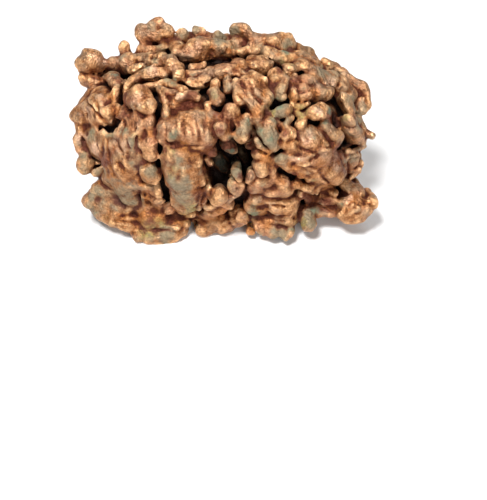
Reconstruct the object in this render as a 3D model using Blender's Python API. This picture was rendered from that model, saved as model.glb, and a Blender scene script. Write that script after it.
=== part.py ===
"""Native copper nugget: one lumpy, folded mass of copper with a hollow in its front and a worn, flat base.

The whole nugget is one solid. It starts as an egg-shaped filler with the large hollow cut into its front.
Rounded masses and limbs of metal are laid over the filler, gaps are cut between them, and the underside is
worn flat where the nugget rests.

The show face is the side that the nugget is displayed by. A limb there is given by where it shows on a flat
display plane through the nugget's middle, as millimetres across and up that plane, seen from the viewpoint.
Its real place is where that line of sight meets the skin of the mass.
"""

import bmesh
import bpy
import numpy as np
from mathutils import Matrix

MM = 0.001  # every length below is in millimetres, and the meshes are in metres

# Driving dimensions
SKIN_CENTRE = np.array([0.0, 0.0, 40.5])  # middle of the egg that the limbs' centre lines lie on
SKIN_HALF = np.array([68.0, 40.0, 40.0])  # its half length, half depth and half height
SKIN_ROUND_LONG = 2.3  # 2 is a true ellipse, and more is squarer, seen from above
SKIN_ROUND_SIDE = 2.7  # the same, seen from the end
FILLER_DEPTH = 5.0  # the filler lies this far under the skin
VIEWPOINT = np.array([9.4, -338.0, 305.0])  # where the show face is seen from
DISPLAY_MIDDLE = np.array([0.0, 0.0, 45.0])  # the display plane's origin
BEAD_SPACING = 0.45  # beads along a limb, as a share of the limb's radius
PATH_STEP = 2.5  # length of one step along a limb's smooth path
ROOT_STEP = 0.8  # how far one root bead lies under the next, as a share of the limb's radius
ROOT_BEADS = 4  # most root beads under a limb
HOLLOW_ROOT_BEADS = 12  # the same under a lump in the large hollow
ROOT_TAPER = 0.12  # how much thinner each root bead is
ROOT_THINNEST = 0.6  # and the least that it thins to
HOLLOW_WALL = 25.0  # the hollow's lumps are rooted this far under the skin
SIGHT_SAMPLES = np.linspace(110.0, -110.0, 881)  # distances at which a line of sight is tried for the skin
VOXEL = 1.25  # fineness at which the beads are fused
SMOOTHING_PASSES = 1
FACES_LEFT = 0.3  # share of the fused faces that stay before the gaps are cut
TOOL_FACES_LEFT = 0.4  # the same for the shapes that are cut out or added afterwards
TRIANGLES = 9400  # faces of the whole nugget before its base is worn flat
GROUND_SIZE = 300.0  # the block that cuts the base plane
GROUND_DEPTH = 40.0

# The hidden side's limbs, laid by a rule
HIDDEN_LIMBS = 330
HIDDEN_SEED = 11
HIDDEN_RADIUS = (2.6, 6.0)
HIDDEN_LENGTH = (2.0, 15.0)
HIDDEN_STAND_OUT = (-1.0, 3.0)
HIDDEN_BEND = 1.2
SHOW_EDGE = 0.12  # a skin that faces the viewpoint more than this belongs to the show face
GOLDEN_ANGLE = np.pi * (3.0 - np.sqrt(5.0))
LOWEST_REACH = 1.5  # a hidden limb goes no further than this under the base plane

# Feet under the mass: across, deep, up, radius. Each one widens upwards, and the base plane cuts it flat.
FEET = (
    (0.0, 0.0, 11.0, 13.5),
    (-38.0, -33.0, 5.0, 6.5),
    (22.0, -32.0, 4.6, 6.0),
    (52.0, -12.0, 5.0, 6.5),
    (-54.0, -8.0, 5.0, 6.5),
    (38.0, 22.0, 5.0, 6.5),
    (-36.0, 24.0, 5.0, 6.5),
    (2.0, 30.0, 4.6, 6.0),
)
FOOT_RISE = (0.0, 0.0, 6.0, 2.0)  # how a foot's upper part differs from its lower one, in the same order
# Broad masses on the show face, by region. Each one is (stand-out, point, point, ...), and each point is
# (across, up, radius). The stand-out is how far its middle line lies outside the skin.
SHOW_MASSES = {
    "left lobe": (
        (0, (-73.6, 5.8, 5.4)),
        (1, (-68.4, 8.4, 7.4), (-62.5, 10, 6.8)),
        (2, (-66, 5.6, 5.2), (-62, 6.4, 4.8)),
        (0, (-66.6, 14, 4.8), (-61, 14.5, 4.6)),
        (1, (-71, 4, 3.8), (-64, 4.4, 3.8), (-60, 4.6, 3.4)),
    ),
    "left trunk": (
        (0, (-45.5, 2, 4.0), (-45, -5, 6.0)),
        (-3, (-46, -8, 7.0), (-50.5, -14, 8.0), (-54, -22, 8.0), (-57, -27, 7.0)),
        (-1, (-42, -15, 5.5), (-47, -22, 6.5), (-48, -30, 7.0)),
        (0, (-58, -10, 4.0), (-60, -18, 4.5)),
        (0, (-46, 4, 2.6), (-47.6, -4, 3.2), (-50.6, -12, 4.0), (-53, -18, 4.0)),
        (0, (-53, -3, 3.0), (-55.4, -10, 4.0), (-57.6, -18, 4.0), (-58, -26, 4.0)),
        (0, (-44.6, -6, 3.2), (-46.4, -14, 3.8), (-49.4, -23, 4.2), (-50, -31, 4.2)),
        (1, (-54.4, -21, 4.4), (-54, -30, 4.6)),
        (0, (-60, -26, 5.4), (-58, -34, 6.0)),
        (0, (-51, -29, 6.4), (-51, -37, 6.6)),
        (1, (-44, -15, 3.6), (-46.6, -20, 3.6)),
    ),
    "left flank's ground": (
        (-3, (-69, -6, 4.4), (-64, -7.4, 5.2), (-60, -6, 4.6)),
        (-3, (-67, -12, 4.0), (-62, -12, 4.4)),
    ),
    "lower left": (
        (-3, (-68.5, -38, 6.5), (-61, -38, 7.0), (-53, -38, 8.0), (-46, -37, 7.0)),
        (-1, (-66, -43.5, 5.0), (-56, -45, 5.5), (-46, -45, 5.0), (-37, -44, 4.5)),
        (1, (-64, -47.5, 3.2), (-56, -51, 3.8), (-49, -53, 4.0)),
        (1, (-65, -30.5, 3.4), (-61, -31, 4.0)),
        (3, (-67.6, -35, 4.2), (-62, -35.6, 4.6)),
        (2, (-57, -34.5, 6.4), (-50, -34.5, 6.6)),
        (2, (-71, -39.6, 3.4)),
        (2, (-64, -41.4, 4.6), (-58, -42, 4.4)),
        (2, (-52, -42, 4.8), (-46, -41.6, 4.0)),
        (2, (-36.4, -43.4, 4.2)),
        (1, (-30, -46.4, 3.6), (-25, -48, 3.2)),
    ),
    "bottom lobe": (
        (-1, (-45, -56, 5.2), (-37.5, -58, 6.6), (-29.5, -57, 5.8), (-25.5, -55, 4.2)),
    ),
    "middle column": (
        (-3, (-23.5, -15, 8.6), (-23.5, -21, 9.8), (-22.2, -30, 7.8), (-21.5, -40, 6.0)),
        (0, (-23, -15, 7.6), (-23, -22, 8.6), (-22, -31, 7.2), (-21.6, -40, 5.4)),
        (1, (-18, -11, 2.8), (-16.2, -18, 3.0), (-17.4, -28, 3.0), (-18, -37, 2.8)),
        (1, (-28, -12, 3.2), (-29.6, -19, 3.2), (-27.4, -29, 3.2), (-25.6, -38, 3.0)),
        (2, (-23.6, -14, 3.4), (-22.6, -22, 4.2), (-22.4, -29, 3.6)),
        (-1, (-30, -42, 4.0), (-24, -46, 5.0), (-19, -45, 4.0)),
    ),
    "mass over the column": (
        (1, (-28, -2, 6.6), (-20.5, -2, 9.0), (-12.5, -3, 7.4)),
        (0, (-25, 9, 4.4), (-18, 9.5, 4.8), (-13.5, 8, 3.4)),
        (1, (-9.6, 1.5, 3.4), (-9, -5.5, 3.8), (-11, -11, 3.4)),
    ),
    "top left": (
        (1, (-46, 31.5, 3.2), (-40, 31, 4.0), (-33, 31, 4.0), (-29, 30, 3.2)),
        (0, (-38, 37.5, 3.0), (-31, 38, 3.2), (-24, 38, 3.4), (-21, 34, 3.0)),
        (-1, (-27, 19, 3.4), (-22, 15, 3.8), (-29, 13, 3.4)),
    ),
    "top": (
        (0, (-19, 42.5, 3.4), (-12, 42, 4.0), (-5, 42.5, 3.8), (1, 41.5, 3.4)),
        (2, (-15, 38, 5.4), (-10.6, 38.6, 5.6)),
        (1, (-5, 37, 4.8), (2, 36.5, 4.2)),
        (0, (9, 34.8, 3.2)),
        (0, (5, 41, 3.2), (11, 40, 3.4), (18, 37, 3.0)),
        (0, (-8, 25.4, 3.8), (-2, 25, 4.8), (5, 25.4, 4.6), (9, 26, 4.0)),
        (0, (9, 28, 4.2), (15, 28.5, 4.8), (21, 29, 4.0)),
        (0, (11, 21, 5.0), (17, 20, 5.2), (21, 15, 4.2)),
        (0, (7, 17, 3.6), (9, 12, 3.8), (14, 10, 4.4), (17, 5, 3.6)),
        (0, (-19, 21.4, 2.8), (-14, 20.3, 3.4), (-10, 21.6, 2.8)),
    ),
    "top right slope": (
        (0, (22, 34.5, 3.2), (30, 32.5, 3.6), (37, 31, 3.8), (45, 27.6, 3.8)),
        (0, (33, 26, 4.0), (40, 26.5, 3.6), (47, 23, 4.0)),
        (0, (46, 20, 4.0), (53, 20, 4.4), (59, 17, 4.4), (63, 12.5, 4.2)),
        (0, (27.5, 18, 4.0), (34, 17, 3.6), (40, 14, 3.8), (47, 14.5, 3.8), (54, 13.6, 3.8)),
        (0, (67, 14.5, 4.2), (70, 9.5, 4.0), (68, 6.5, 4.0)),
    ),
    "right front mass": (
        (-2, (34, -8.5, 5.6), (42, -8.5, 7.4), (50, -9, 5.4)),
        (-3, (34, -17, 6.2), (42, -18, 8.6), (51, -20, 7.6)),
        (3, (30.6, -11, 3.0), (38, -12.6, 3.4), (47, -12, 3.4), (54.6, -12.4, 3.0)),
        (3, (33, -17.4, 3.4), (41, -18.6, 4.0), (49, -17.6, 4.2), (54, -18, 3.4)),
        (3, (33.6, -22.8, 2.6), (41, -24, 3.4), (47.4, -26, 3.0)),
        (0, (50, -28.5, 6.0), (43, -25, 4.6)),
        (0, (47, -32, 3.6), (54, -33.5, 3.6)),
    ),
    "right flank": (
        (0, (65, -3, 4.6), (68, -8, 5.0)),
        (-1, (64, -18, 4.4), (68, -22, 3.6), (64, -26, 3.0)),
        (-2, (61, -32, 3.4), (61, -38, 3.8)),
    ),
    "lower right": (
        (-2, (39, -36, 3.4), (47, -40, 3.4), (55, -41.5, 3.6)),
        (0, (49, -46.5, 3.6), (55, -46.5, 4.2), (60, -45, 4.4)),
        (3, (66.5, -46, 7.2)),
    ),
    "belly under the hollow": (
        (-1, (23, -47, 6.2), (30, -48.5, 7.4), (36, -45, 5.2)),
        (3, (26, -46, 5.8), (32, -47.4, 6.6), (35, -42.6, 4.8)),
        (-1, (15, -32, 4.0), (22, -31.5, 4.4), (27, -34, 4.2)),
        (-1, (16, -38, 4.6), (23, -39.5, 4.8)),
        (0, (13, -43, 3.6), (18, -44, 4.0)),
        (-1, (-13, -54.5, 3.6), (-7, -52, 4.8), (1, -48.5, 5.6), (8, -46.5, 5.4)),
        (-2, (-16, -48, 3.0), (-8, -44.5, 3.2), (0, -41, 3.4)),
        (-2, (31, 4, 3.0), (38, 3, 3.4), (44, 3, 3.4)),
    ),
}

# Finer limbs on the show face, in the same form.
SHOW_LIMBS = {
    "upper left knob, its bridge and the upright stub": (
        (3, (-70.4, 30.6, 5.4), (-67.2, 32.8, 6.2)),
        (2, (-63, 30.4, 2.6), (-58, 31.4, 3.0), (-53, 30.6, 4.4), (-46.4, 30, 4.8)),
        (3, (-49.8, 35, 2.6), (-49.8, 39.2, 2.5)),
        (4, (-53.3, 30.8, 3.4), (-51.5, 31, 3.6)),
        (2, (-74, 27.2, 1.0), (-71, 26.4, 1.2), (-68.6, 27, 1.2)),
    ),
    "lip under the knob and the arm beside the lobe": (
        (2, (-73.2, 23.4, 1.9), (-69, 21.8, 2.7), (-64, 20.4, 3.0), (-61.5, 18.6, 2.6)),
        (3, (-59, 22.8, 2.8), (-56.3, 22.2, 3.4), (-54.5, 18, 2.6), (-56, 13.6, 2.2), (-57, 11, 2.0)),
        (3, (-73.6, 3.6, 3.0), (-72.8, 8, 3.4), (-70.8, 12.6, 3.2), (-68, 17, 2.8)),
        (4, (-69.6, 12, 3.4), (-66.6, 7.5, 3.8), (-64, 3.4, 3.2)),
        (4, (-66, 15.8, 3.2), (-63, 11.4, 3.8), (-60.2, 6.4, 3.4)),
        (3, (-62, 16, 3.2), (-59, 12.4, 3.2)),
        (-1, (-50, 8, 3.0), (-49.6, 4.6, 3.4)),
        (0, (-54.6, 9, 1.6), (-54, 3.6, 1.8)),
        (0, (-57.4, 0.6, 1.6)),
        (0, (-55, 3.4, 1.4)),
        (1, (-52.4, -1.4, 1.5), (-53.4, -4.4, 1.7)),
    ),
    "cap on its neck": (
        (3, (-41, 45.4, 2.6), (-36, 45.4, 3.2), (-31.5, 45, 3.2), (-28, 45.4, 2.6)),
        (3, (-40.6, 48.2, 2.4)),
        (3, (-35, 49, 3.2), (-33, 50.4, 2.8)),
        (3, (-31.2, 51.6, 2.0)),
        (3, (-29.2, 48, 2.6)),
        (3, (-39.8, 43.2, 1.7), (-39.6, 39, 1.9), (-38.6, 36.6, 2.4)),
        (2, (-32.4, 41.8, 1.7), (-28, 41, 2.0), (-23.5, 40.4, 1.8)),
        (4, (-37.5, 37.2, 2.2), (-33, 37, 2.2), (-30, 37.8, 2.0)),
        (4, (-26, 38, 2.0), (-22.6, 36.8, 2.2)),
        (3, (-24.6, 35, 2.0)),
    ),
    "arms under the bridge": (
        (4, (-47.6, 26.8, 1.7), (-45, 27.6, 2.0), (-42.8, 28.6, 1.6)),
        (4, (-49.4, 18.6, 2.0), (-46.5, 21.8, 2.8), (-42, 24.2, 3.2), (-36, 25.6, 2.8), (-31, 25.6, 2.0)),
        (2, (-41, 17.9, 1.6), (-37, 19.4, 1.8), (-33, 20.8, 1.7), (-29.4, 21.6, 1.9)),
        (2, (-50, 16, 1.6), (-50, 12, 1.4)),
        (5, (-46.4, 13.2, 4.8), (-43.2, 12.6, 6.0), (-41, 10, 4.6)),
        (5, (-40, 8.4, 3.4)),
        (0, (-33.8, 14, 1.3), (-32.6, 11.6, 1.3)),
        (6, (-26.6, 31.4, 2.8), (-25, 28.4, 3.6), (-23.2, 25, 2.8)),
        (4, (-33.6, 17.2, 1.5), (-30, 15.6, 1.7), (-26, 15.6, 1.7)),
        (4, (-33.4, 15.4, 1.4), (-31, 10.5, 1.8), (-30.4, 5, 1.9)),
    ),
    "left trunk's ridges, bulb and ball": (
        (2, (-44.4, 4, 2.4), (-42.8, -2, 2.8), (-42.4, -8, 2.8)),
        (2, (-38.8, 1.4, 2.4), (-38, -4, 3.2), (-37.8, -9, 3.2)),
        (4, (-39.6, -12, 3.8), (-38.8, -14.5, 4.0)),
        (5, (-39.8, -24, 4.9), (-39.2, -26, 4.9)),
        (4, (-44, -31, 1.6), (-42.6, -36, 1.8), (-40.6, -41, 1.8)),
        (4, (-41, -32, 1.5), (-39.4, -37, 1.6)),
        (4, (-36.5, -33, 2.6), (-35.8, -38, 3.0), (-35.5, -43, 3.0)),
    ),
    "left flank": (
        (2, (-73.5, -2.2, 3.2), (-76, -6.6, 2.8), (-75.4, -11.5, 2.8)),
        (3, (-73, -15.5, 2.6), (-73, -19, 3.0), (-73.8, -22.4, 3.4)),
        (4, (-70.4, -4.7, 2.7)),
        (1, (-70, -1.6, 2.6), (-66, -1.4, 2.4)),
        (1, (-71.6, -9, 2.4), (-69, -12, 2.2), (-64.5, -17.5, 1.8)),
        (0, (-67, -9, 2.2), (-63.4, -13, 2.4), (-61, -14.6, 2.2)),
        (1, (-66.6, -5, 2.4), (-66.6, -9, 2.4)),
        (1, (-62.4, -4.6, 2.6), (-62.4, -10, 2.6)),
        (2, (-68.4, -24.4, 1.8), (-65.8, -23, 2.3)),
        (0, (-70.6, -12, 2.0), (-70, -18, 2.0)),
    ),
    "lower left rim": (
        (3, (-57, -48, 2.0), (-48, -48.4, 2.6), (-39, -49, 2.6), (-30, -50.2, 2.6), (-22.5, -52, 2.4)),
        (4, (-36, -52.8, 1.6), (-30, -53.6, 2.0), (-26, -54, 1.8)),
    ),
    "ridges of the mass over the column": (
        (4, (-20.4, 2, 2.4), (-19.6, -4, 2.6), (-19.8, -9, 2.2)),
        (4, (-16.4, 2, 2.2), (-15.6, -4, 2.4), (-15.8, -10, 2.0)),
        (4, (-12.4, 1, 2.2), (-12, -4, 2.4), (-12.8, -10.4, 2.0)),
        (3, (-9, 3.4, 2.4), (-7.6, 0.6, 2.2)),
        (4, (-25.2, -5.6, 3.0)),
        (3, (-31.4, -2, 3.0), (-32.4, -6.6, 2.6)),
        (6, (-23.6, 13, 2.0), (-21.4, 13.2, 2.0)),
        (5, (-18.4, 14.2, 2.2), (-15.4, 13.4, 2.0), (-12.8, 12.4, 1.6)),
        (3, (-8.2, 8.6, 1.6), (-7.4, 5, 1.7)),
    ),
    "ribs beside the column": (
        (1, (-15.2, -22, 2.0), (-13.6, -29, 2.0)),
        (-1, (-14.6, -33, 2.0), (-13.6, -38, 2.0), (-14.4, -43, 1.8)),
        (-1, (-10.8, -32.4, 1.8), (-10.2, -37, 1.8), (-11, -42, 1.6)),
        (2, (-4.4, -37.6, 4.4)),
        (1, (-9, -43.4, 1.8), (-3, -41.4, 2.0), (2, -38.4, 1.9), (5.6, -36.4, 1.6)),
    ),
    "top, middle": (
        (3, (-20.6, 45, 2.6)),
        (3, (-14.2, 46.4, 1.9), (-11.8, 46.2, 1.8)),
        (4, (-2.6, 43.4, 3.0), (-0.4, 42.6, 2.6)),
        (6, (-5.6, 31.6, 1.1), (-5.4, 33.6, 1.1)),
        (6, (6, 46.8, 2.6), (9.4, 47, 2.7), (13, 44.8, 2.3), (16.4, 42.4, 2.3), (20, 40, 2.2)),
        (4, (3.6, 37, 1.3)),
        (4, (5.4, 35.4, 1.4)),
        (4, (8.4, 35.6, 1.5)),
        (5, (10.8, 36, 1.8), (13.4, 36.4, 2.1), (16, 35.6, 1.8)),
        (4, (15.6, 32.4, 2.4), (18.6, 31.8, 2.0)),
        (3, (-16.6, 28.4, 1.9), (-13.6, 28.6, 1.8)),
        (3, (-10.8, 29.4, 1.7)),
        (3, (-18.8, 26, 1.2), (-15, 25.2, 1.4), (-11.6, 25.6, 1.3)),
        (3, (-5.4, 19.4, 2.0), (-6, 15, 2.5), (-3.6, 11.8, 2.4)),
        (3, (1.4, 20, 2.0), (1.5, 16.4, 2.3)),
        (5, (6, 18.6, 2.4), (6.8, 14, 2.8), (8.4, 11, 2.4)),
    ),
    "fan": (
        (3, (12.4, 19.6, 4.4), (15, 14.4, 5.0), (16.6, 8, 4.2)),
        (5, (10, 20.6, 2.2), (13.4, 14.8, 2.4), (16.6, 8.6, 2.3)),
        (5, (14.4, 21, 2.4), (17.8, 15.4, 2.5), (20.4, 11, 2.2)),
        (5, (18.2, 21, 2.2), (20.8, 17, 2.2), (22.6, 13.4, 2.0)),
        (6, (10.6, 14.6, 2.2), (13.4, 9.8, 2.5), (15.6, 5, 2.5)),
        (5, (15.6, 6, 3.0), (16.2, 2.6, 2.6), (16.6, 0.4, 1.8)),
    ),
    "top right": (
        (4, (25.6, 23, 3.0), (25.4, 21, 2.8)),
        (4, (30.4, 19, 2.4), (29.4, 15.6, 2.9), (30.4, 13.2, 2.3)),
        (4, (36, 15, 2.3), (36.4, 12.8, 2.4)),
        (5, (41.6, 20.6, 2.9), (43.6, 20.4, 2.6)),
        (3, (40.4, 17.2, 2.0)),
        (4, (40.4, 12.4, 1.7), (43.4, 12.6, 1.8)),
        (4, (50.6, 13.8, 2.6), (52.4, 13.4, 2.5)),
        (3, (31.8, 37.8, 2.1), (32.8, 38.8, 1.8)),
        (3, (27.4, 38, 1.0)),
        (
            3,
            (22, 38, 1.8),
            (27, 36.6, 1.8),
            (33, 35.2, 2.0),
            (39, 33, 2.2),
            (45, 30, 2.2),
            (50.4, 27, 1.9),
        ),
        (3, (54.4, 25, 1.8), (57.6, 25.4, 2.6), (59.6, 24.4, 2.2)),
        (3, (61.4, 21.6, 2.2), (66, 19, 2.4), (70.4, 16.6, 2.8), (73, 12, 2.6), (73, 8, 2.5)),
        (5, (62, 11.4, 2.2), (64, 8, 2.3), (65.8, 4.6, 2.0)),
        (5, (69.4, 9.4, 2.2), (71.4, 5.4, 2.2)),
        (4, (36.6, 22, 1.5), (37.4, 19, 1.3)),
    ),
    "right of the middle": (
        (5, (46.4, 3.6, 3.4), (49.8, 4.8, 4.0)),
        (2, (36, 8.4, 1.6), (40, 8, 1.8), (44, 9, 1.5)),
        (2, (38.4, 5, 1.5), (40.6, 1.6, 1.9), (39.6, -2, 2.0)),
        (4, (25.2, 3.6, 1.5), (28.2, 4.8, 2.6), (31.8, 5.6, 2.8)),
        (4, (34.4, 1.8, 1.8), (32.2, -1.4, 1.9)),
        (4, (51, -2.6, 2.4), (55.6, -6, 2.8), (57.8, -9.6, 2.6)),
        (5, (31, -7, 2.2), (34.4, -5.6, 2.4)),
        (4, (28.6, -19, 2.6), (31.6, -21.6, 2.4)),
        (6, (55.2, -25, 5.0), (57, -27, 5.2)),
        (4, (37, -25, 1.6), (40, -28, 1.8), (43.4, -30, 1.8)),
        (5, (64.5, 0.6, 2.2), (69.6, 0.4, 2.2), (71.4, -3, 2.4)),
        (4, (73, -5.4, 1.9), (75.6, -6.6, 1.7)),
        (3, (70, -11, 2.2)),
    ),
    "right flank's ribs": (
        (3, (62.4, -15.6, 1.2), (66, -15.6, 1.4), (70, -15.2, 1.4)),
        (3, (62, -18.4, 1.3), (66, -18.4, 1.5), (70.4, -18.6, 1.6)),
        (3, (64.6, -21, 1.2), (68, -21.4, 1.4), (71, -22, 1.8)),
        (4, (65.6, -24.4, 1.9)),
        (3, (68.8, -25.4, 1.5), (66.4, -28, 1.5)),
        (3, (59.4, -17, 1.3), (60.6, -21, 1.5), (62, -26, 1.6)),
    ),
    "ledges and the fist at the lower right": (
        (5, (37.6, -32.6, 1.6), (44, -35, 2.0), (51, -36.8, 2.0), (57.4, -36.8, 2.0)),
        (4, (39, -37, 1.6), (45, -39.6, 2.0), (52, -41.4, 2.0), (58, -41.4, 2.0)),
        (3, (62.6, -31.6, 2.4), (66, -35, 2.8), (69.6, -37.6, 3.2)),
        (4, (76.4, -42.6, 3.2)),
        (4, (63, -42, 3.4), (67, -40.6, 3.6), (71.6, -43, 3.4)),
        (5, (72.6, -46.6, 3.2), (69.4, -49.6, 3.0)),
        (4, (62.6, -48, 2.8), (65.4, -50, 2.6)),
    ),
    "drops and grapes over the hollow": (
        (4, (21.6, -3.6, 4.6), (23, -8, 4.6), (24.4, -12.4, 3.0)),
        (4, (15.6, -8, 0.9), (18, -12.2, 1.0), (22.6, -15.6, 1.0)),
        (2, (19, 0, 1.6), (24, -0.4, 2.0), (28.6, -2, 2.0)),
        (5, (10.4, 1.8, 1.9), (9.4, -3, 3.8), (8.6, -5.8, 3.6)),
        (5, (2.8, 5.6, 4.0)),
        (4, (5.6, 1.6, 2.4)),
        (3, (-4, 3.4, 2.4), (-3.4, -1, 4.0)),
        (4, (-1.4, -2.6, 4.4), (0.2, -4.6, 3.4)),
        (3, (2.4, -1, 2.4)),
    ),
    "below the hollow": (
        (5, (18.2, -24.4, 3.8)),
        (1, (13, -27.6, 2.8), (18, -29.6, 3.4), (24.6, -28, 3.2)),
        (1, (18, -17, 3.0), (22.4, -20, 3.4), (24, -25, 3.0)),
        (4, (30, -31.6, 4.2), (31.6, -35.4, 4.6)),
        (3, (26, -35.4, 3.0), (22.6, -35.4, 2.6)),
        (4, (19.6, -55.8, 3.8)),
        (5, (24.4, -57, 2.8)),
        (5, (30.2, -57.8, 2.9), (32.2, -57, 2.7)),
        (4, (42, -46.6, 3.4), (43.4, -52.6, 4.3)),
        (4, (46.2, -46.2, 1.4)),
        (4, (14.6, -45.6, 1.3), (15, -50, 1.1)),
        (1, (11.4, -56.4, 1.5), (13.4, -56.8, 1.4)),
        (2, (1.4, -33.4, 1.4), (4, -36, 1.5)),
    ),
}

# The large hollow, which is cut from the filler before the limbs are laid round its mouth.
# Here the first number is how far the middle line lies under the skin.
LARGE_HOLLOW = (
    (9, (4, -13, 12.0), (4, -20, 13.5), (1, -27, 10.0)),
)

# Smaller gaps, slots and holes, in the same form, cut after the limbs are laid.
GAPS = (
    (1, (-52.2, 25, 0.9), (-51.8, 19, 1.3), (-52.4, 12, 1.6)),
    (1, (-64, 26.6, 1.6), (-61.4, 27, 1.4)),
    (0, (-55.6, 1.4, 1.5), (-59.6, -1.8, 1.6), (-63.6, -2.6, 1.5)),
    (1, (-54, -0.4, 1.6), (-55.6, -4, 1.4)),
    (2, (-68, -15.4, 1.2), (-64.6, -17.4, 1.5), (-61.6, -17.4, 1.9)),
    (2, (-36, 13.4, 2.0), (-35.6, 11.4, 1.6)),
    (2, (-33.8, 7, 1.8), (-34.2, 8.6, 1.5)),
    (2, (-31.8, -9.8, 2.4), (-33.8, -13, 2.6), (-34.8, -17.4, 2.0), (-35, -20.6, 1.4)),
    (2, (-34, -29.4, 1.6), (-32.2, -33, 2.4), (-31, -37.4, 2.8)),
    (3, (-9.2, 15.6, 2.0), (-8.6, 13.4, 2.2)),
    (3, (0.4, 12.4, 1.8), (3.6, 11.8, 1.4)),
    (2, (28.4, 27, 1.5), (30, 26, 1.1)),
    (2, (22.6, 7.4, 1.3), (22, 4, 1.5), (26, 1, 1.0), (30.4, 0.6, 0.8)),
    (4, (55, 6.6, 1.8), (57.4, 3.4, 3.2), (58, -1, 2.6)),
    (2, (56, -13, 1.0), (58.4, -15.2, 1.6), (62, -14, 0.9), (68.6, -12.8, 0.8)),
    (3, (31.8, -25.4, 1.3), (35.4, -29, 1.6), (36.8, -33, 1.2)),
    (2, (38, -38, 1.2), (43, -41.6, 1.8), (50, -44, 1.6), (57, -44, 1.2)),
    (3, (10, -38.4, 1.9), (11.2, -35.6, 1.6), (8.6, -37.6, 1.6)),
    (2, (13.6, -1, 1.3), (14.6, -6, 1.5), (13.2, -11, 1.4)),
)

# Lumps that stand inside the large hollow, in the form of limbs.
HOLLOW_LUMPS = (
    (-7, (1, -10.4, 3.0), (3, -12, 2.6)),
    (-6, (13.6, -11.6, 2.4)),
    (-2, (-7.4, -13.6, 2.3)),
    (-2, (-10, -17.4, 1.3), (-8.4, -20, 1.4)),
    (-20, (-4, -17, 3.4), (-1, -23, 3.6)),
    (-22, (9, -15, 3.0), (11, -20, 2.6)),
    (1, (5.4, -25.2, 2.3), (6.6, -28, 1.8)),
    (0, (3.6, -31.4, 2.2), (8, -31.2, 2.3), (6, -33.6, 2.0)),
)




def unit(vector):
    """The vector at length 1."""
    return vector / np.linalg.norm(vector)


SIGHT = unit(VIEWPOINT - DISPLAY_MIDDLE)
ACROSS = unit(np.cross([0.0, 0.0, 1.0], SIGHT))
UP = np.cross(SIGHT, ACROSS)


def skin_measure(points, depth=0.0):
    """1 on the egg-shaped skin, less inside it and more outside. depth shrinks the egg by that length."""
    x, y, z = np.moveaxis(np.abs((points - SKIN_CENTRE) / (SKIN_HALF - depth)), -1, 0)
    side = (y**SKIN_ROUND_SIDE + z**SKIN_ROUND_SIDE) ** (1.0 / SKIN_ROUND_SIDE)
    return (x**SKIN_ROUND_LONG + side**SKIN_ROUND_LONG) ** (1.0 / SKIN_ROUND_LONG)


def spread_directions(count):
    """That many directions, spread evenly over a ball by the golden angle."""
    turn = np.arange(count) * GOLDEN_ANGLE
    height = 1 - 2 * (np.arange(count) + 0.5) / count
    reach = np.sqrt(1 - height**2)
    return np.column_stack([reach * np.cos(turn), reach * np.sin(turn), height])


def skin_outward(points):
    """Directions straight out of the skin at the points."""
    slope = (points - SKIN_CENTRE) / SKIN_HALF**2
    return slope / np.linalg.norm(slope, axis=-1)[..., None]


def on_sight_line(across, up, stand_out):
    """The place that shows at (across, up), that far outside the skin, and the way to the viewpoint."""
    shown = DISPLAY_MIDDLE + across * ACROSS + up * UP
    towards = unit(VIEWPOINT - shown)
    line = shown + SIGHT_SAMPLES[:, None] * towards
    measure = skin_measure(line)
    inside = np.flatnonzero(measure < 1.0)
    nearest = inside[0] if len(inside) else np.argmin(measure)
    return line[nearest] + stand_out * towards, towards


def smooth_path(points, radii):
    """A Catmull-Rom curve through the points, with the radius carried along it."""
    if len(points) < 3:
        return points, radii
    knots = np.column_stack([points, radii])
    before = np.append(2 * points[0] - points[1], radii[0])
    after = np.append(2 * points[-1] - points[-2], radii[-1])
    knots = np.vstack([before, knots, after])
    path = []
    for i in range(1, len(knots) - 2):
        steps = max(1, int(np.linalg.norm(knots[i + 1, :3] - knots[i, :3]) / PATH_STEP))
        for t in np.arange(steps) / steps:
            first, second = 2 * t**2 - t - t**3, 2 - 5 * t**2 + 3 * t**3
            third, fourth = t + 4 * t**2 - 3 * t**3, t**3 - t**2
            path.append(np.array([first, second, third, fourth]) / 2 @ knots[i - 1 : i + 3])
    path = np.array(path + [knots[-2]])
    return path[:, :3], path[:, 3]


def string_beads(points, radii):
    """Beads (x, y, z, radius) close enough along the path to read as one rounded limb."""
    knots = np.column_stack([points, radii])
    beads = [knots[:1]]
    for a, b in zip(knots[:-1], knots[1:]):
        count = int(np.ceil(np.linalg.norm(b[:3] - a[:3]) / (BEAD_SPACING * min(a[3], b[3])))) + 1
        share = np.arange(1, count + 1)[:, None] / count
        beads.append(a * (1 - share) + b * share)
    return np.vstack(beads)


def limb_with_roots(points, radii, outward, depth=FILLER_DEPTH, most=ROOT_BEADS):
    """A limb's beads, and the root beads that tie it to the metal that far under the skin."""
    beads = [string_beads(points, radii)]
    down = -unit(outward + skin_outward(points).mean(axis=0))
    for step in range(1, most + 1):
        root = points + down * step * ROOT_STEP * radii.mean()
        root[:, 2] = np.maximum(root[:, 2], radii)
        if skin_measure(root, depth).min() < 1.0 and step > 1:
            break
        beads.append(string_beads(root, radii * max(ROOT_THINNEST, 1 - ROOT_TAPER * step)))
    return np.vstack(beads)


def shown_limb(limb, inward=False):
    """Path points, radii and outward direction of a limb that is given on the display plane."""
    stand_out = -limb[0] if inward else limb[0]
    placed = [on_sight_line(across, up, stand_out) for across, up, _ in limb[1:]]
    outward = np.mean([towards for _, towards in placed], axis=0)
    points = np.array([place for place, _ in placed])
    radii = np.array([float(point[2]) for point in limb[1:]])
    return *smooth_path(points, radii), outward


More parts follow.
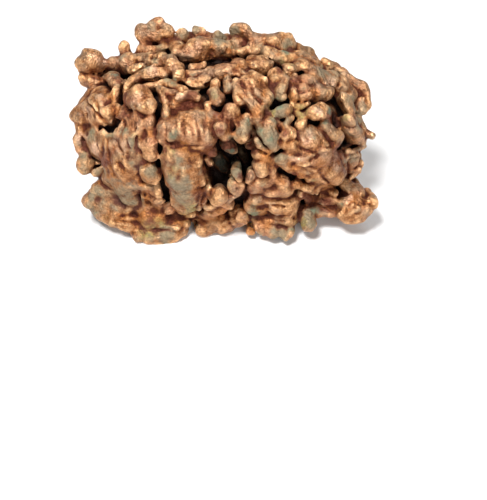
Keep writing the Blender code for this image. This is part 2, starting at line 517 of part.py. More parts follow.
def hidden_limbs():
    """Limbs for the back, the sides and the underside, spread evenly and turned at random."""
    rng = np.random.default_rng(HIDDEN_SEED)
    for direction in spread_directions(HIDDEN_LIMBS):
        middle = SKIN_CENTRE + direction / skin_measure(SKIN_CENTRE + direction)
        outward = unit((middle - SKIN_CENTRE) / SKIN_HALF**2)
        reach = unit(np.cross(outward, rng.normal(size=3))) * rng.uniform(*HIDDEN_LENGTH) / 2
        bend = rng.normal(size=3) * HIDDEN_BEND
        stand_out = rng.uniform(*HIDDEN_STAND_OUT)
        radii = rng.uniform(*HIDDEN_RADIUS) * np.array([rng.uniform(0.7, 1.0), 1.0, rng.uniform(0.5, 0.9)])
        if outward @ SIGHT > SHOW_EDGE:
            continue
        points = np.array([middle - reach, middle + bend, middle + reach])
        points = SKIN_CENTRE + (points - SKIN_CENTRE) / skin_measure(points)[:, None] + outward * stand_out
        points[:, 2] += max(0.0, -LOWEST_REACH - (points[:, 2] - radii).min())
        yield *smooth_path(points, radii), outward


def ball(subdivisions):
    """Corners and faces of a ball of radius 1."""
    form = bmesh.new()
    bmesh.ops.create_icosphere(form, subdivisions=subdivisions, radius=1.0)
    corners = np.array([corner.co for corner in form.verts])
    faces = np.array([[corner.index for corner in face.verts] for face in form.faces])
    form.free()
    return corners, faces


def filler():
    """Corners and faces of the filler: a ball pressed out to the egg's shape under the skin."""
    corners, faces = ball(5)
    return SKIN_CENTRE + corners / skin_measure(SKIN_CENTRE + corners, FILLER_DEPTH)[:, None], faces


def bead_mass(beads):
    """Corners and faces of all the beads, one ball for each."""
    corners, faces = ball(2)
    points = beads[:, None, :3] + corners[None] * beads[:, None, 3:]
    first = np.arange(len(beads))[:, None, None] * len(corners)
    return points.reshape(-1, 3), (faces[None] + first).reshape(-1, 3)


def add_body(name, *shapes):
    """One mesh object that holds all the shapes, each of them corners in millimetres and faces."""
    corners = np.vstack([shape[0] for shape in shapes])
    firsts = np.cumsum([0] + [len(shape[0]) for shape in shapes])
    faces = np.vstack([shape[1] + first for shape, first in zip(shapes, firsts)])
    mesh = bpy.data.meshes.new(name)
    mesh.from_pydata(corners * MM, [], faces)
    mesh.shade_smooth()
    body = bpy.data.objects.new(name, mesh)
    bpy.context.scene.collection.objects.link(body)
    return body


def add_modifier(body, kind, **settings):
    """Puts a modifier on the object and sets it."""
    modifier = body.modifiers.new(kind.title(), kind)
    for name, value in settings.items():
        setattr(modifier, name, value)


def fuse(body, faces_left):
    """Fuses the body's balls into one skin, softens it and thins its faces."""
    add_modifier(body, "REMESH", mode="VOXEL", voxel_size=VOXEL * MM, use_smooth_shade=True)
    add_modifier(body, "SMOOTH", factor=0.5, iterations=SMOOTHING_PASSES)
    if faces_left < 1.0:
        add_modifier(body, "DECIMATE", ratio=faces_left)


def drop_crumbs(mesh):
    """Deletes every loose shell of the mesh but the largest."""
    form = bmesh.new()
    form.from_mesh(mesh)
    unseen = set(form.verts)
    shells = []
    while unseen:
        shell = set()
        edge_of_shell = [unseen.pop()]
        while edge_of_shell:
            corner = edge_of_shell.pop()
            shell.add(corner)
            near = {edge.other_vert(corner) for edge in corner.link_edges} & unseen
            unseen -= near
            edge_of_shell.extend(near)
        shells.append(shell)
    shells.sort(key=len)
    bmesh.ops.delete(form, geom=[corner for shell in shells[:-1] for corner in shell], context="VERTS")
    form.to_mesh(mesh)
    form.free()


def settle(body):
    """Gives the body the mesh that its modifiers make, in one shell, with its material kept."""
    materials = list(body.data.materials)
    graph = bpy.context.evaluated_depsgraph_get()
    mesh = bpy.data.meshes.new_from_object(body.evaluated_get(graph))
    body.modifiers.clear()
    body.data = mesh
    drop_crumbs(mesh)
    mesh.materials.clear()
    for material in materials:
        mesh.materials.append(material)


def make_tool(body):
    """Marks a body as a tool that another body's Boolean uses, and that isn't part of the nugget."""
    body.hide_render = True
    body.display_type = "WIRE"
    return body


def cutter(name, spaces):
    """A tool that fills the given spaces under the skin."""
    beads = [string_beads(*shown_limb(space, inward=True)[:2]) for space in spaces]
    body = add_body(name, bead_mass(np.vstack(beads)))
    fuse(body, TOOL_FACES_LEFT)
    return make_tool(body)


def hollowed_filler():
    """Corners and faces of the filler with the large hollow cut into it."""
    body = add_body("filler", filler())
    space = cutter("large_hollow_cutter", LARGE_HOLLOW)
    add_modifier(body, "BOOLEAN", operation="DIFFERENCE", object=space)
    settle(body)
    body.data.calc_loop_triangles()
    corners = np.array([corner.co for corner in body.data.vertices]) / MM
    faces = np.array([triangle.vertices for triangle in body.data.loop_triangles])
    bpy.data.objects.remove(body, do_unlink=True)
    return corners, faces


def hollow_lumps():
    """The lumps that stand inside the large hollow."""
    lumps = [limb_with_roots(*shown_limb(limb), HOLLOW_WALL, HOLLOW_ROOT_BEADS) for limb in HOLLOW_LUMPS]
    body = add_body("hollow_lumps", bead_mass(np.vstack(lumps)))
    fuse(body, TOOL_FACES_LEFT)
    return make_tool(body)


def ground():
    """A block with its top on the base plane, which wears the nugget's underside flat."""
    bpy.ops.mesh.primitive_cube_add(size=1.0)
    block = bpy.context.object
    block.name = "ground"
    block.data.transform(Matrix.Diagonal((GROUND_SIZE * MM, GROUND_SIZE * MM, GROUND_DEPTH * MM, 1.0)))
    block.data.transform(Matrix.Translation((0.0, 0.0, -GROUND_DEPTH / 2 * MM)))
    return make_tool(block)


def centre_on_box(body):
    """Slides the body's mesh along the base plane until the origin is the middle of its box's bottom."""
    places = np.array([corner.co for corner in body.data.vertices])
    middle = (places.min(axis=0) + places.max(axis=0)) / 2
    body.data.transform(Matrix.Translation((-middle[0], -middle[1], 0.0)))


def copper():
    """Weathered native copper: dull orange-brown metal."""
    material = bpy.data.materials.new("native_copper")
    material.use_nodes = True
    shader = material.node_tree.nodes["Principled BSDF"]
    shader.inputs["Base Color"].default_value = (0.50, 0.26, 0.14, 1.0)
    shader.inputs["Metallic"].default_value = 0.8
    shader.inputs["Roughness"].default_value = 0.5
    return material


def build_nugget():
    """Lays the limbs over the hollowed filler, fuses them, cuts the gaps and wears the base flat."""
    regions = [*SHOW_MASSES.values(), *SHOW_LIMBS.values()]
    shown = [limb_with_roots(*shown_limb(limb)) for region in regions for limb in region]
    hidden = [limb_with_roots(*limb) for limb in hidden_limbs()]
    feet = np.array(FEET)
    beads = np.vstack([*shown, *hidden, feet, feet + FOOT_RISE])
    nugget = add_body("copper_nugget", hollowed_filler(), bead_mass(beads))
    nugget.data.materials.append(copper())
    fuse(nugget, FACES_LEFT)
    add_modifier(nugget, "BOOLEAN", operation="DIFFERENCE", object=cutter("gap_cutter", GAPS))
    add_modifier(nugget, "BOOLEAN", operation="UNION", object=hollow_lumps())
    fuse(nugget, 1.0)
    settle(nugget)
    add_modifier(nugget, "DECIMATE", ratio=TRIANGLES / (2 * len(nugget.data.polygons)))
    add_modifier(nugget, "BOOLEAN", operation="DIFFERENCE", object=ground())
    settle(nugget)
    centre_on_box(nugget)


for old in list(bpy.data.objects):
    bpy.data.objects.remove(old, do_unlink=True)
build_nugget()
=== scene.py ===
"""The look of the native copper nugget: its folded metal skin, its weathered colours with painted shade and
highlight, and the studio.

The mass is worked out as a field on a grid: each grid point holds how far it lies outside the metal. Masses
and limbs are melted into the field one after another, gaps are cut out of it, and its zero level becomes the
skin. The show face is the side that the nugget is displayed by. Places on it are given on a flat display
plane through the nugget's middle, as millimetres across and up that plane, seen from the viewpoint.
"""

import logging
import math
from dataclasses import dataclass, field
from enum import Enum

import bpy
import numpy as np
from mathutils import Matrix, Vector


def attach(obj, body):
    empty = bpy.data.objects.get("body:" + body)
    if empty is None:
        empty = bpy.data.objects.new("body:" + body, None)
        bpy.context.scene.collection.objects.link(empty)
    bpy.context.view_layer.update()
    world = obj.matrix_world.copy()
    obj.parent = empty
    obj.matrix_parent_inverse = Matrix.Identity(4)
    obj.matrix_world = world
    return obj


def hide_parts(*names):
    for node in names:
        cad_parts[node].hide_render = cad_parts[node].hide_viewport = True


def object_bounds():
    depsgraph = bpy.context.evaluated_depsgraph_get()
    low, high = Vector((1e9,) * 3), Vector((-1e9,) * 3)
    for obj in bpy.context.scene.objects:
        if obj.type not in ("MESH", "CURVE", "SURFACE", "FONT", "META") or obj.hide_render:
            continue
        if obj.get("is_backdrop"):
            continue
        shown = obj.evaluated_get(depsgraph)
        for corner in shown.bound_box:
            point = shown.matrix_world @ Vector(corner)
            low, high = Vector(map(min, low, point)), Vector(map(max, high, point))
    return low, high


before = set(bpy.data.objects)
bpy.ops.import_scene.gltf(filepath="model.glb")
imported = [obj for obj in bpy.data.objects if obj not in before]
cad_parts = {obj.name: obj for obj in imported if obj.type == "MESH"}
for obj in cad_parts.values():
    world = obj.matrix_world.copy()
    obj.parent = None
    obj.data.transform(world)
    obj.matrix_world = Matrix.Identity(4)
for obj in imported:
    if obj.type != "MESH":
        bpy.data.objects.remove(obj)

import openvdb
from mathutils import Vector

log = logging.getLogger("nugget")
MM = 0.001  # lengths are in millimetres until a mesh is made, and a mesh is in metres
SPACING = 0.7  # from one grid point of the field to the next
NODE = "copper_nugget"

Limb = tuple
"""(stand-out from the egg, (across, up, radius), ...): a limb, mass or gap on the show face."""

# Broad masses on the show face, by region, each one a Limb.
MASSES = {
    "left lobe": (
        (0, (-73.6, 5.8, 5.4)), (1, (-68.4, 8.4, 7.4), (-62.5, 10, 6.8)),
        (2, (-66, 5.6, 5.2), (-62, 6.4, 4.8)), (4, (-70.4, 7, 4.4), (-65.6, 8.4, 5.0), (-61.6, 9.4, 4.4)),
        (0, (-66.6, 14, 4.8), (-61, 14.5, 4.6)), (1, (-71, 4, 3.8), (-64, 4.4, 3.8), (-60, 4.6, 3.4)),
    ),
    "left trunk": (
        (0, (-45.5, 2, 4.0), (-45, -5, 6.0)),
        (-3, (-46, -8, 7.0), (-50.5, -14, 8.0), (-54, -22, 8.0), (-57, -27, 7.0)),
        (-1, (-42, -15, 5.5), (-47, -22, 6.5), (-48, -30, 7.0)), (0, (-58, -10, 4.0), (-60, -18, 4.5)),
        (0, (-46, 4, 2.6), (-47.6, -4, 3.2), (-50.6, -12, 4.0), (-53, -18, 4.0)),
        (0, (-53, -3, 3.0), (-55.4, -10, 4.0), (-57.6, -18, 4.0), (-58, -26, 4.0)),
        (0, (-44.6, -6, 3.2), (-46.4, -14, 3.8), (-49.4, -23, 4.2), (-50, -31, 4.2)),
        (1, (-54.4, -21, 4.4), (-54, -30, 4.6)), (0, (-60, -26, 5.4), (-58, -34, 6.0)),
        (0, (-51, -29, 6.4), (-51, -37, 6.6)), (1, (-44, -15, 3.6), (-46.6, -20, 3.6)),
    ),
    "left flank's ground": (
        (-3, (-69, -6, 4.4), (-64, -7.4, 5.2), (-60, -6, 4.6)), (-3, (-67, -12, 4.0), (-62, -12, 4.4)),
    ),
    "lower left": (
        (-3, (-68.5, -38, 6.5), (-61, -38, 7.0), (-53, -38, 8.0), (-46, -37, 7.0)),
        (-1, (-66, -43.5, 5.0), (-56, -45, 5.5), (-46, -45, 5.0), (-37, -44, 4.5)),
        (1, (-64, -47.5, 3.2), (-56, -51, 3.8), (-49, -53, 4.0)), (1, (-65, -30.5, 3.4), (-61, -31, 4.0)),
        (3, (-67.6, -35, 4.2), (-62, -35.6, 4.6)), (2, (-57, -34.5, 6.4), (-50, -34.5, 6.6)),
        (2, (-71, -39.6, 3.4)), (2, (-64, -41.4, 4.6), (-58, -42, 4.4)),
        (2, (-52, -42, 4.8), (-46, -41.6, 4.0)), (2, (-36.4, -43.4, 4.2)),
        (1, (-30, -46.4, 3.6), (-25, -48, 3.2)),
    ),
    "bottom lobe": (
        (-1, (-45, -56, 5.2), (-37.5, -58, 6.6), (-29.5, -57, 5.8), (-25.5, -55, 4.2)),
    ),
    "middle column": (
        (-3, (-23.5, -15, 8.6), (-23.5, -21, 9.8), (-22.2, -30, 7.8), (-21.5, -40, 6.0)),
        (0, (-23, -15, 7.6), (-23, -22, 8.6), (-22, -31, 7.2), (-21.6, -40, 5.4)),
        (1, (-18, -11, 2.8), (-16.2, -18, 3.0), (-17.4, -28, 3.0), (-18, -37, 2.8)),
        (1, (-28, -12, 3.2), (-29.6, -19, 3.2), (-27.4, -29, 3.2), (-25.6, -38, 3.0)),
        (2, (-23.6, -14, 3.4), (-22.6, -22, 4.2), (-22.4, -29, 3.6)),
        (-1, (-30, -42, 4.0), (-24, -46, 5.0), (-19, -45, 4.0)),
    ),
    "mass over the column": (
        (1, (-28, -2, 6.6), (-20.5, -2, 9.0), (-12.5, -3, 7.4)),
        (0, (-25, 9, 4.4), (-18, 9.5, 4.8), (-13.5, 8, 3.4)),
        (1, (-9.6, 1.5, 3.4), (-9, -5.5, 3.8), (-11, -11, 3.4)),
    ),
    "top left": (
        (1, (-46, 31.5, 3.2), (-40, 31, 4.0), (-33, 31, 4.0), (-29, 30, 3.2)),
        (0, (-38, 37.5, 3.0), (-31, 38, 3.2), (-24, 38, 3.4), (-21, 34, 3.0)),
        (-1, (-27, 19, 3.4), (-22, 15, 3.8), (-29, 13, 3.4)),
    ),
    "top": (
        (0, (-19, 42.5, 3.4), (-12, 42, 4.0), (-5, 42.5, 3.8), (1, 41.5, 3.4)),
        (3, (-15, 36.2, 5.4), (-11, 37, 5.6)), (1, (-5, 37, 4.8), (2, 36.5, 4.2)), (0, (9, 34.8, 3.2)),
        (0, (5, 41, 3.2), (11, 40, 3.4), (18, 37, 3.0)),
        (0, (-8, 25.4, 3.8), (-2, 25, 4.8), (5, 25.4, 4.6), (9, 26, 4.0)),
        (0, (9, 28, 4.2), (15, 28.5, 4.8), (21, 29, 4.0)), (0, (11, 21, 5.0), (17, 20, 5.2), (21, 15, 4.2)),
        (0, (7, 17, 3.6), (9, 12, 3.8), (14, 10, 4.4), (17, 5, 3.6)),
        (0, (-19, 21.4, 2.8), (-14, 20.3, 3.4), (-10, 21.6, 2.8)),
    ),
    "top right slope": (
        (0, (22, 34.5, 3.2), (30, 32.5, 3.6), (37, 31, 3.8), (45, 27.6, 3.8)),
        (0, (33, 26, 4.0), (40, 26.5, 3.6), (47, 23, 4.0)),
        (0, (46, 20, 4.0), (53, 20, 4.4), (59, 17, 4.4), (63, 12.5, 4.2)),
        (0, (27.5, 18, 4.0), (34, 17, 3.6), (40, 14, 3.8), (47, 14.5, 3.8), (54, 13.6, 3.8)),
        (0, (67, 14.5, 4.2), (70, 9.5, 4.0), (68, 6.5, 4.0)),
    ),
    "right front mass": (
        (-2, (34, -8.5, 5.6), (42, -8.5, 7.4), (50, -9, 5.4)),
        (-3, (34, -17, 6.2), (42, -18, 8.6), (51, -20, 7.6)),
        (3, (30.6, -11, 3.0), (38, -12.6, 3.4), (47, -12, 3.4), (54.6, -12.4, 3.0)),
        (3, (33, -17.4, 3.4), (41, -18.6, 4.0), (49, -17.6, 4.2), (54, -18, 3.4)),
        (3, (33.6, -22.8, 2.6), (41, -24, 3.4), (47.4, -26, 3.0)), (0, (50, -28.5, 6.0), (43, -25, 4.6)),
        (0, (47, -32, 3.6), (54, -33.5, 3.6)),
    ),
    "right flank": (
        (0, (65, -3, 4.6), (68, -8, 5.0)), (-1, (64, -18, 4.4), (68, -22, 3.6), (64, -26, 3.0)),
        (-2, (61, -32, 3.4), (61, -38, 3.8)),
    ),
    "lower right": (
        (-2, (39, -36, 3.4), (47, -40, 3.4), (55, -41.5, 3.6)),
        (0, (49, -46.5, 3.6), (55, -46.5, 4.2), (60, -45, 4.4)), (3, (66.5, -46, 7.2)),
    ),
    "belly under the hollow": (
        (-1, (23, -47, 6.2), (30, -48.5, 7.4), (36, -45, 5.2)),
        (4, (26, -46, 6.2), (31, -47.4, 7.0), (34.6, -43.6, 5.4)), (1, (25, -39.6, 5.0), (32, -39.4, 5.2)),
        (4, (27, -42.6, 5.0), (32.6, -42.6, 5.2)), (-1, (15, -32, 4.0), (22, -31.5, 4.4), (27, -34, 4.2)),
        (-1, (16, -38, 4.6), (23, -39.5, 4.8)), (0, (13, -43, 3.6), (18, -44, 4.0)),
        (-1, (-13, -54.5, 3.6), (-7, -52, 4.8), (1, -48.5, 5.6), (8, -46.5, 5.4)),
        (-2, (-16, -48, 3.0), (-8, -44.5, 3.2), (0, -41, 3.4)),
        (-2, (31, 4, 3.0), (38, 3, 3.4), (44, 3, 3.4)),
    ),
}

# Finer limbs on the show face.
LIMBS = {
    "upper left knob, its bridge and the upright stub": (
        (3, (-70.4, 30.6, 5.4), (-67.2, 32.8, 6.2)),
        (2, (-63, 30.4, 2.6), (-58, 31.4, 3.0), (-53, 30.6, 4.4), (-46.4, 30, 4.8)),
        (3, (-49.8, 35, 2.6), (-49.8, 39.2, 2.5)), (4, (-53.3, 30.8, 3.4), (-51.5, 31, 3.6)),
        (2, (-74, 27.2, 1.0), (-71, 26.4, 1.2), (-68.6, 27, 1.2)),
    ),
    "lip under the knob and the arm beside the lobe": (
        (2, (-73.2, 23.4, 1.9), (-69, 21.8, 2.7), (-64, 20.4, 3.0), (-61.5, 18.6, 2.6)),
        (3, (-59, 22.8, 2.8), (-56.3, 22.2, 3.4), (-54.5, 18, 2.6), (-56, 13.6, 2.2), (-57, 11, 2.0)),
        (3, (-73.6, 3.6, 3.0), (-72.8, 8, 3.4), (-70.8, 12.6, 3.2), (-68, 17, 2.8)),
        (4, (-69.6, 12, 3.4), (-66.6, 7.5, 3.8), (-64, 3.4, 3.2)),
        (4, (-66, 15.8, 3.2), (-63, 11.4, 3.8), (-60.2, 6.4, 3.4)), (3, (-62, 16, 3.2), (-59, 12.4, 3.2)),
        (-1, (-50, 8, 3.0), (-49.6, 4.6, 3.4)), (0, (-54.6, 9, 1.6), (-54, 3.6, 1.8)),
        (0, (-57.4, 0.6, 1.6)), (0, (-55, 3.4, 1.4)), (1, (-52.4, -1.4, 1.5), (-53.4, -4.4, 1.7)),
    ),
    "cap on its neck": (
        (3, (-41, 45.4, 2.6), (-36, 45.4, 3.2), (-31.5, 45, 3.2), (-28, 45.4, 2.6)),
        (3, (-40.6, 48.2, 2.4)), (3, (-35, 49, 3.2), (-33, 50.4, 2.8)), (3, (-31.2, 51.6, 2.0)),
        (3, (-29.2, 48, 2.6)), (3, (-39.8, 43.2, 1.7), (-39.6, 39, 1.9), (-38.6, 36.6, 2.4)),
        (2, (-32.4, 41.8, 1.7), (-28, 41, 2.0), (-23.5, 40.4, 1.8)),
        (4, (-37.5, 37.2, 2.2), (-33, 37, 2.2), (-30, 37.8, 2.0)), (4, (-26, 38, 2.0), (-22.6, 36.8, 2.2)),
        (3, (-24.6, 35, 2.0)),
    ),
    "arms under the bridge": (
        (4, (-47.6, 26.8, 1.7), (-45, 27.6, 2.0), (-42.8, 28.6, 1.6)),
        (4, (-49.4, 18.6, 2.0), (-46.5, 21.8, 2.8), (-42, 24.2, 3.2), (-36, 25.6, 2.8), (-31, 25.6, 2.0)),
        (2, (-41, 17.9, 1.6), (-37, 19.4, 1.8), (-33, 20.8, 1.7), (-29.4, 21.6, 1.9)),
        (2, (-50, 16, 1.6), (-50, 12, 1.4)), (5, (-46.4, 13.2, 4.8), (-43.2, 12.6, 6.0), (-41, 10, 4.6)),
        (5, (-40, 8.4, 3.4)), (0, (-33.8, 14, 1.3), (-32.6, 11.6, 1.3)),
        (6, (-26.6, 31.4, 2.8), (-25, 28.4, 3.6), (-23.2, 25, 2.8)),
        (4, (-33.6, 17.2, 1.5), (-30, 15.6, 1.7), (-26, 15.6, 1.7)),
        (4, (-33.4, 15.4, 1.4), (-31, 10.5, 1.8), (-30.4, 5, 1.9)),
    ),
    "left trunk's ridges, bulb and ball": (
        (2, (-44.4, 4, 2.4), (-42.8, -2, 2.8), (-42.4, -8, 2.8)),
        (2, (-38.8, 1.4, 2.4), (-38, -4, 3.2), (-37.8, -9, 3.2)),
        (4, (-39.6, -12, 3.8), (-38.8, -14.5, 4.0)), (5, (-39.8, -24, 4.9), (-39.2, -26, 4.9)),
        (4, (-44, -31, 1.6), (-42.6, -36, 1.8), (-40.6, -41, 1.8)), (4, (-41, -32, 1.5), (-39.4, -37, 1.6)),
        (4, (-36.5, -33, 2.6), (-35.8, -38, 3.0), (-35.5, -43, 3.0)),
    ),
    "left flank": (
        (2, (-73.5, -2.2, 3.2), (-76, -6.6, 2.8), (-75.4, -11.5, 2.8)),
        (3, (-73, -15.5, 2.6), (-73, -19, 3.0), (-73.8, -22.4, 3.4)), (4, (-70.4, -4.7, 2.7)),
        (1, (-70, -1.6, 2.6), (-66, -1.4, 2.4)),
        (1, (-71.6, -9, 2.4), (-69, -12, 2.2), (-64.5, -17.5, 1.8)),
        (0, (-67, -9, 2.2), (-63.4, -13, 2.4), (-61, -14.6, 2.2)), (1, (-66.6, -5, 2.4), (-66.6, -9, 2.4)),
        (1, (-62.4, -4.6, 2.6), (-62.4, -10, 2.6)), (2, (-68.4, -24.4, 1.8), (-65.8, -23, 2.3)),
        (0, (-70.6, -12, 2.0), (-70, -18, 2.0)),
    ),
    "lower left rim": (
        (3, (-57, -48, 2.0), (-48, -48.4, 2.6), (-39, -49, 2.6), (-30, -50.2, 2.6), (-22.5, -52, 2.4)),
        (4, (-36, -52.8, 1.6), (-30, -53.6, 2.0), (-26, -54, 1.8)),
    ),
    "ridges of the mass over the column": (
        (4, (-20.4, 2, 2.4), (-19.6, -4, 2.6), (-19.8, -9, 2.2)),
        (4, (-16.4, 2, 2.2), (-15.6, -4, 2.4), (-15.8, -10, 2.0)),
        (4, (-12.4, 1, 2.2), (-12, -4, 2.4), (-12.8, -10.4, 2.0)), (3, (-9, 3.4, 2.4), (-7.6, 0.6, 2.2)),
        (4, (-25.2, -5.6, 3.0)), (3, (-31.4, -2, 3.0), (-32.4, -6.6, 2.6)),
        (6, (-23.6, 13, 2.0), (-21.4, 13.2, 2.0)),
        (5, (-18.4, 14.2, 2.2), (-15.4, 13.4, 2.0), (-12.8, 12.4, 1.6)),
        (3, (-8.2, 8.6, 1.6), (-7.4, 5, 1.7)),
    ),
    "ribs beside the column": (
        (1, (-15.2, -22, 2.0), (-13.6, -29, 2.0)),
        (-1, (-14.6, -33, 2.0), (-13.6, -38, 2.0), (-14.4, -43, 1.8)),
        (-1, (-10.8, -32.4, 1.8), (-10.2, -37, 1.8), (-11, -42, 1.6)), (2, (-4.4, -37.6, 4.4)),
        (1, (-9, -43.4, 1.8), (-3, -41.4, 2.0), (2, -38.4, 1.9), (5.6, -36.4, 1.6)),
    ),
    "top, middle": (
        (3, (-20.6, 45, 2.6)), (3, (-14.2, 46.4, 1.9), (-11.8, 46.2, 1.8)),
        (4, (-2.6, 43.4, 3.0), (-0.4, 42.6, 2.6)), (6, (-5.6, 31.6, 1.1), (-5.4, 33.6, 1.1)),
        (6, (5.8, 47.8, 2.1), (9.4, 47, 2.2), (13, 44.4, 2.0), (16.4, 42, 2.0), (20, 39.6, 2.1)),
        (4, (3.6, 37, 1.3)), (4, (5.4, 35.4, 1.4)), (4, (8.4, 35.6, 1.5)),
        (5, (10.8, 36, 1.8), (13.4, 36.4, 2.1), (16, 35.6, 1.8)), (4, (15.6, 32.4, 2.4), (18.6, 31.8, 2.0)),
        (3, (-16.6, 28.4, 1.9), (-13.6, 28.6, 1.8)), (3, (-10.8, 29.4, 1.7)),
        (3, (-18.8, 26, 1.2), (-15, 25.2, 1.4), (-11.6, 25.6, 1.3)),
        (3, (-5.4, 19.4, 2.0), (-6, 15, 2.5), (-3.6, 11.8, 2.4)), (3, (1.4, 20, 2.0), (1.5, 16.4, 2.3)),
        (5, (6, 18.6, 2.4), (6.8, 14, 2.8), (8.4, 11, 2.4)),
    ),
    "fan": (
        (3, (12.4, 19.6, 4.4), (15, 14.4, 5.0), (16.6, 8, 4.2)),
        (5, (10, 20.6, 2.2), (13.4, 14.8, 2.4), (16.6, 8.6, 2.3)),
        (5, (14.4, 21, 2.4), (17.8, 15.4, 2.5), (20.4, 11, 2.2)),
        (5, (18.2, 21, 2.2), (20.8, 17, 2.2), (22.6, 13.4, 2.0)),
        (6, (10.6, 14.6, 2.2), (13.4, 9.8, 2.5), (15.6, 5, 2.5)),
        (5, (15.6, 6, 3.0), (16.2, 2.6, 2.6), (16.6, 0.4, 1.8)),
    ),
    "top right": (
        (4, (25.6, 23, 3.0), (25.4, 21, 2.8)), (4, (30.4, 19, 2.4), (29.4, 15.6, 2.9), (30.4, 13.2, 2.3)),
        (4, (36, 15, 2.3), (36.4, 12.8, 2.4)), (5, (41.6, 20.6, 2.9), (43.6, 20.4, 2.6)),
        (3, (40.4, 17.2, 2.0)), (4, (40.4, 12.4, 1.7), (43.4, 12.6, 1.8)),
        (4, (50.6, 13.8, 2.6), (52.4, 13.4, 2.5)), (3, (31.8, 37.8, 2.1), (32.8, 38.8, 1.8)),
        (3, (27.4, 38, 1.0)),
        (3, (22, 38, 1.8), (27, 36.6, 1.8), (33, 35.2, 2.0), (39, 33, 2.2), (45, 30, 2.2), (50.4, 27, 1.9)),
        (3, (54.4, 25, 1.8), (57.6, 25.4, 2.6), (59.6, 24.4, 2.2)),
        (3, (61.4, 21.6, 2.2), (66, 19, 2.4), (70.4, 16.6, 2.8), (73, 12, 2.6), (73, 8, 2.5)),
        (5, (62, 11.4, 2.2), (64, 8, 2.3), (65.8, 4.6, 2.0)), (5, (69.4, 9.4, 2.2), (71.4, 5.4, 2.2)),
        (4, (36.6, 22, 1.5), (37.4, 19, 1.3)),
    ),
    "right of the middle": (
        (5, (46.4, 3.6, 3.4), (49.8, 4.8, 4.0)), (2, (36, 8.4, 1.6), (40, 8, 1.8), (44, 9, 1.5)),
        (2, (38.4, 5, 1.5), (40.6, 1.6, 1.9), (39.6, -2, 2.0)),
        (4, (25.2, 3.6, 1.5), (28.2, 4.8, 2.6), (31.8, 5.6, 2.8)), (4, (34.4, 1.8, 1.8), (32.2, -1.4, 1.9)),
        (4, (51, -2.6, 2.4), (55.6, -6, 2.8), (57.8, -9.6, 2.6)), (5, (31, -7, 2.2), (34.4, -5.6, 2.4)),
        (4, (28.6, -19, 2.6), (31.6, -21.6, 2.4)), (6, (55.2, -25, 5.0), (57, -27, 5.2)),
        (4, (37, -25, 1.6), (40, -28, 1.8), (43.4, -30, 1.8)),
        (5, (64.5, 0.6, 2.2), (69.6, 0.4, 2.2), (71.4, -3, 2.4)), (4, (73, -5.4, 1.9), (75.6, -6.6, 1.7)),
        (3, (70, -11, 2.2)),
    ),
    "right flank's ribs": (
        (3, (62.4, -15.6, 1.2), (66, -15.6, 1.4), (70, -15.2, 1.4)),
        (3, (62, -18.4, 1.3), (66, -18.4, 1.5), (70.4, -18.6, 1.6)),
        (3, (64.6, -21, 1.2), (68, -21.4, 1.4), (71, -22, 1.8)), (4, (65.6, -24.4, 1.9)),
        (3, (68.8, -25.4, 1.5), (66.4, -28, 1.5)), (3, (59.4, -17, 1.3), (60.6, -21, 1.5), (62, -26, 1.6)),
    ),
    "ledges and the fist at the lower right": (
        (5, (37.6, -32.6, 1.6), (44, -35, 2.0), (51, -36.8, 2.0), (57.4, -36.8, 2.0)),
        (4, (39, -37, 1.6), (45, -39.6, 2.0), (52, -41.4, 2.0), (58, -41.4, 2.0)),
        (3, (62.6, -31.6, 2.4), (66, -35, 2.8), (69.6, -37.6, 3.2)), (4, (76.4, -42.6, 3.2)),
        (4, (63, -42, 3.4), (67, -40.6, 3.6), (71.6, -43, 3.4)),
        (5, (72.6, -46.6, 3.2), (69.4, -49.6, 3.0)), (4, (62.6, -48, 2.8), (65.4, -50, 2.6)),
    ),
    "drops and grapes over the hollow": (
        (4, (21.6, -3.6, 4.6), (23, -8, 4.6), (24.4, -12.4, 3.0)),
        (4, (15.6, -8, 0.9), (18, -12.2, 1.0), (22.6, -15.6, 1.0)),
        (2, (19, 0, 1.6), (24, -0.4, 2.0), (28.6, -2, 2.0)),
        (5, (10.4, 1.8, 1.9), (9.4, -3, 3.8), (8.6, -5.8, 3.6)), (5, (2.8, 5.6, 4.0)), (4, (5.6, 1.6, 2.4)),
        (3, (-4, 3.4, 2.4), (-3.4, -1, 4.0)), (4, (-1.4, -2.6, 4.4), (0.2, -4.6, 3.4)), (3, (2.4, -1, 2.4)),
    ),
    "below the hollow": (
        (5, (18.2, -24.4, 3.8)), (1, (13, -27.6, 2.8), (18, -29.6, 3.4), (24.6, -28, 3.2)),
        (1, (18, -17, 3.0), (22.4, -20, 3.4), (24, -25, 3.0)), (4, (30, -31.6, 4.2), (31.6, -35.4, 4.6)),
        (3, (26, -35.4, 3.0), (22.6, -35.4, 2.6)), (4, (19.6, -55.8, 3.8)), (5, (24.4, -57, 2.8)),
        (5, (30.2, -57.8, 2.9), (32.2, -57, 2.7)), (4, (42, -46.6, 3.4), (43.4, -52.6, 4.3)),
        (4, (46.2, -46.2, 1.4)), (4, (14.6, -45.6, 1.3), (15, -50, 1.1)),
        (1, (11.4, -56.4, 1.5), (13.4, -56.8, 1.4)), (2, (1.4, -33.4, 1.4), (4, -36, 1.5)),
    ),
}

# The large hollow, cut before the limbs are laid round its mouth. Here the first number is a depth.
LARGE_HOLLOW = (
    (9, (4, -13, 12.0), (4, -20, 13.5), (1, -27, 10.0)),
)

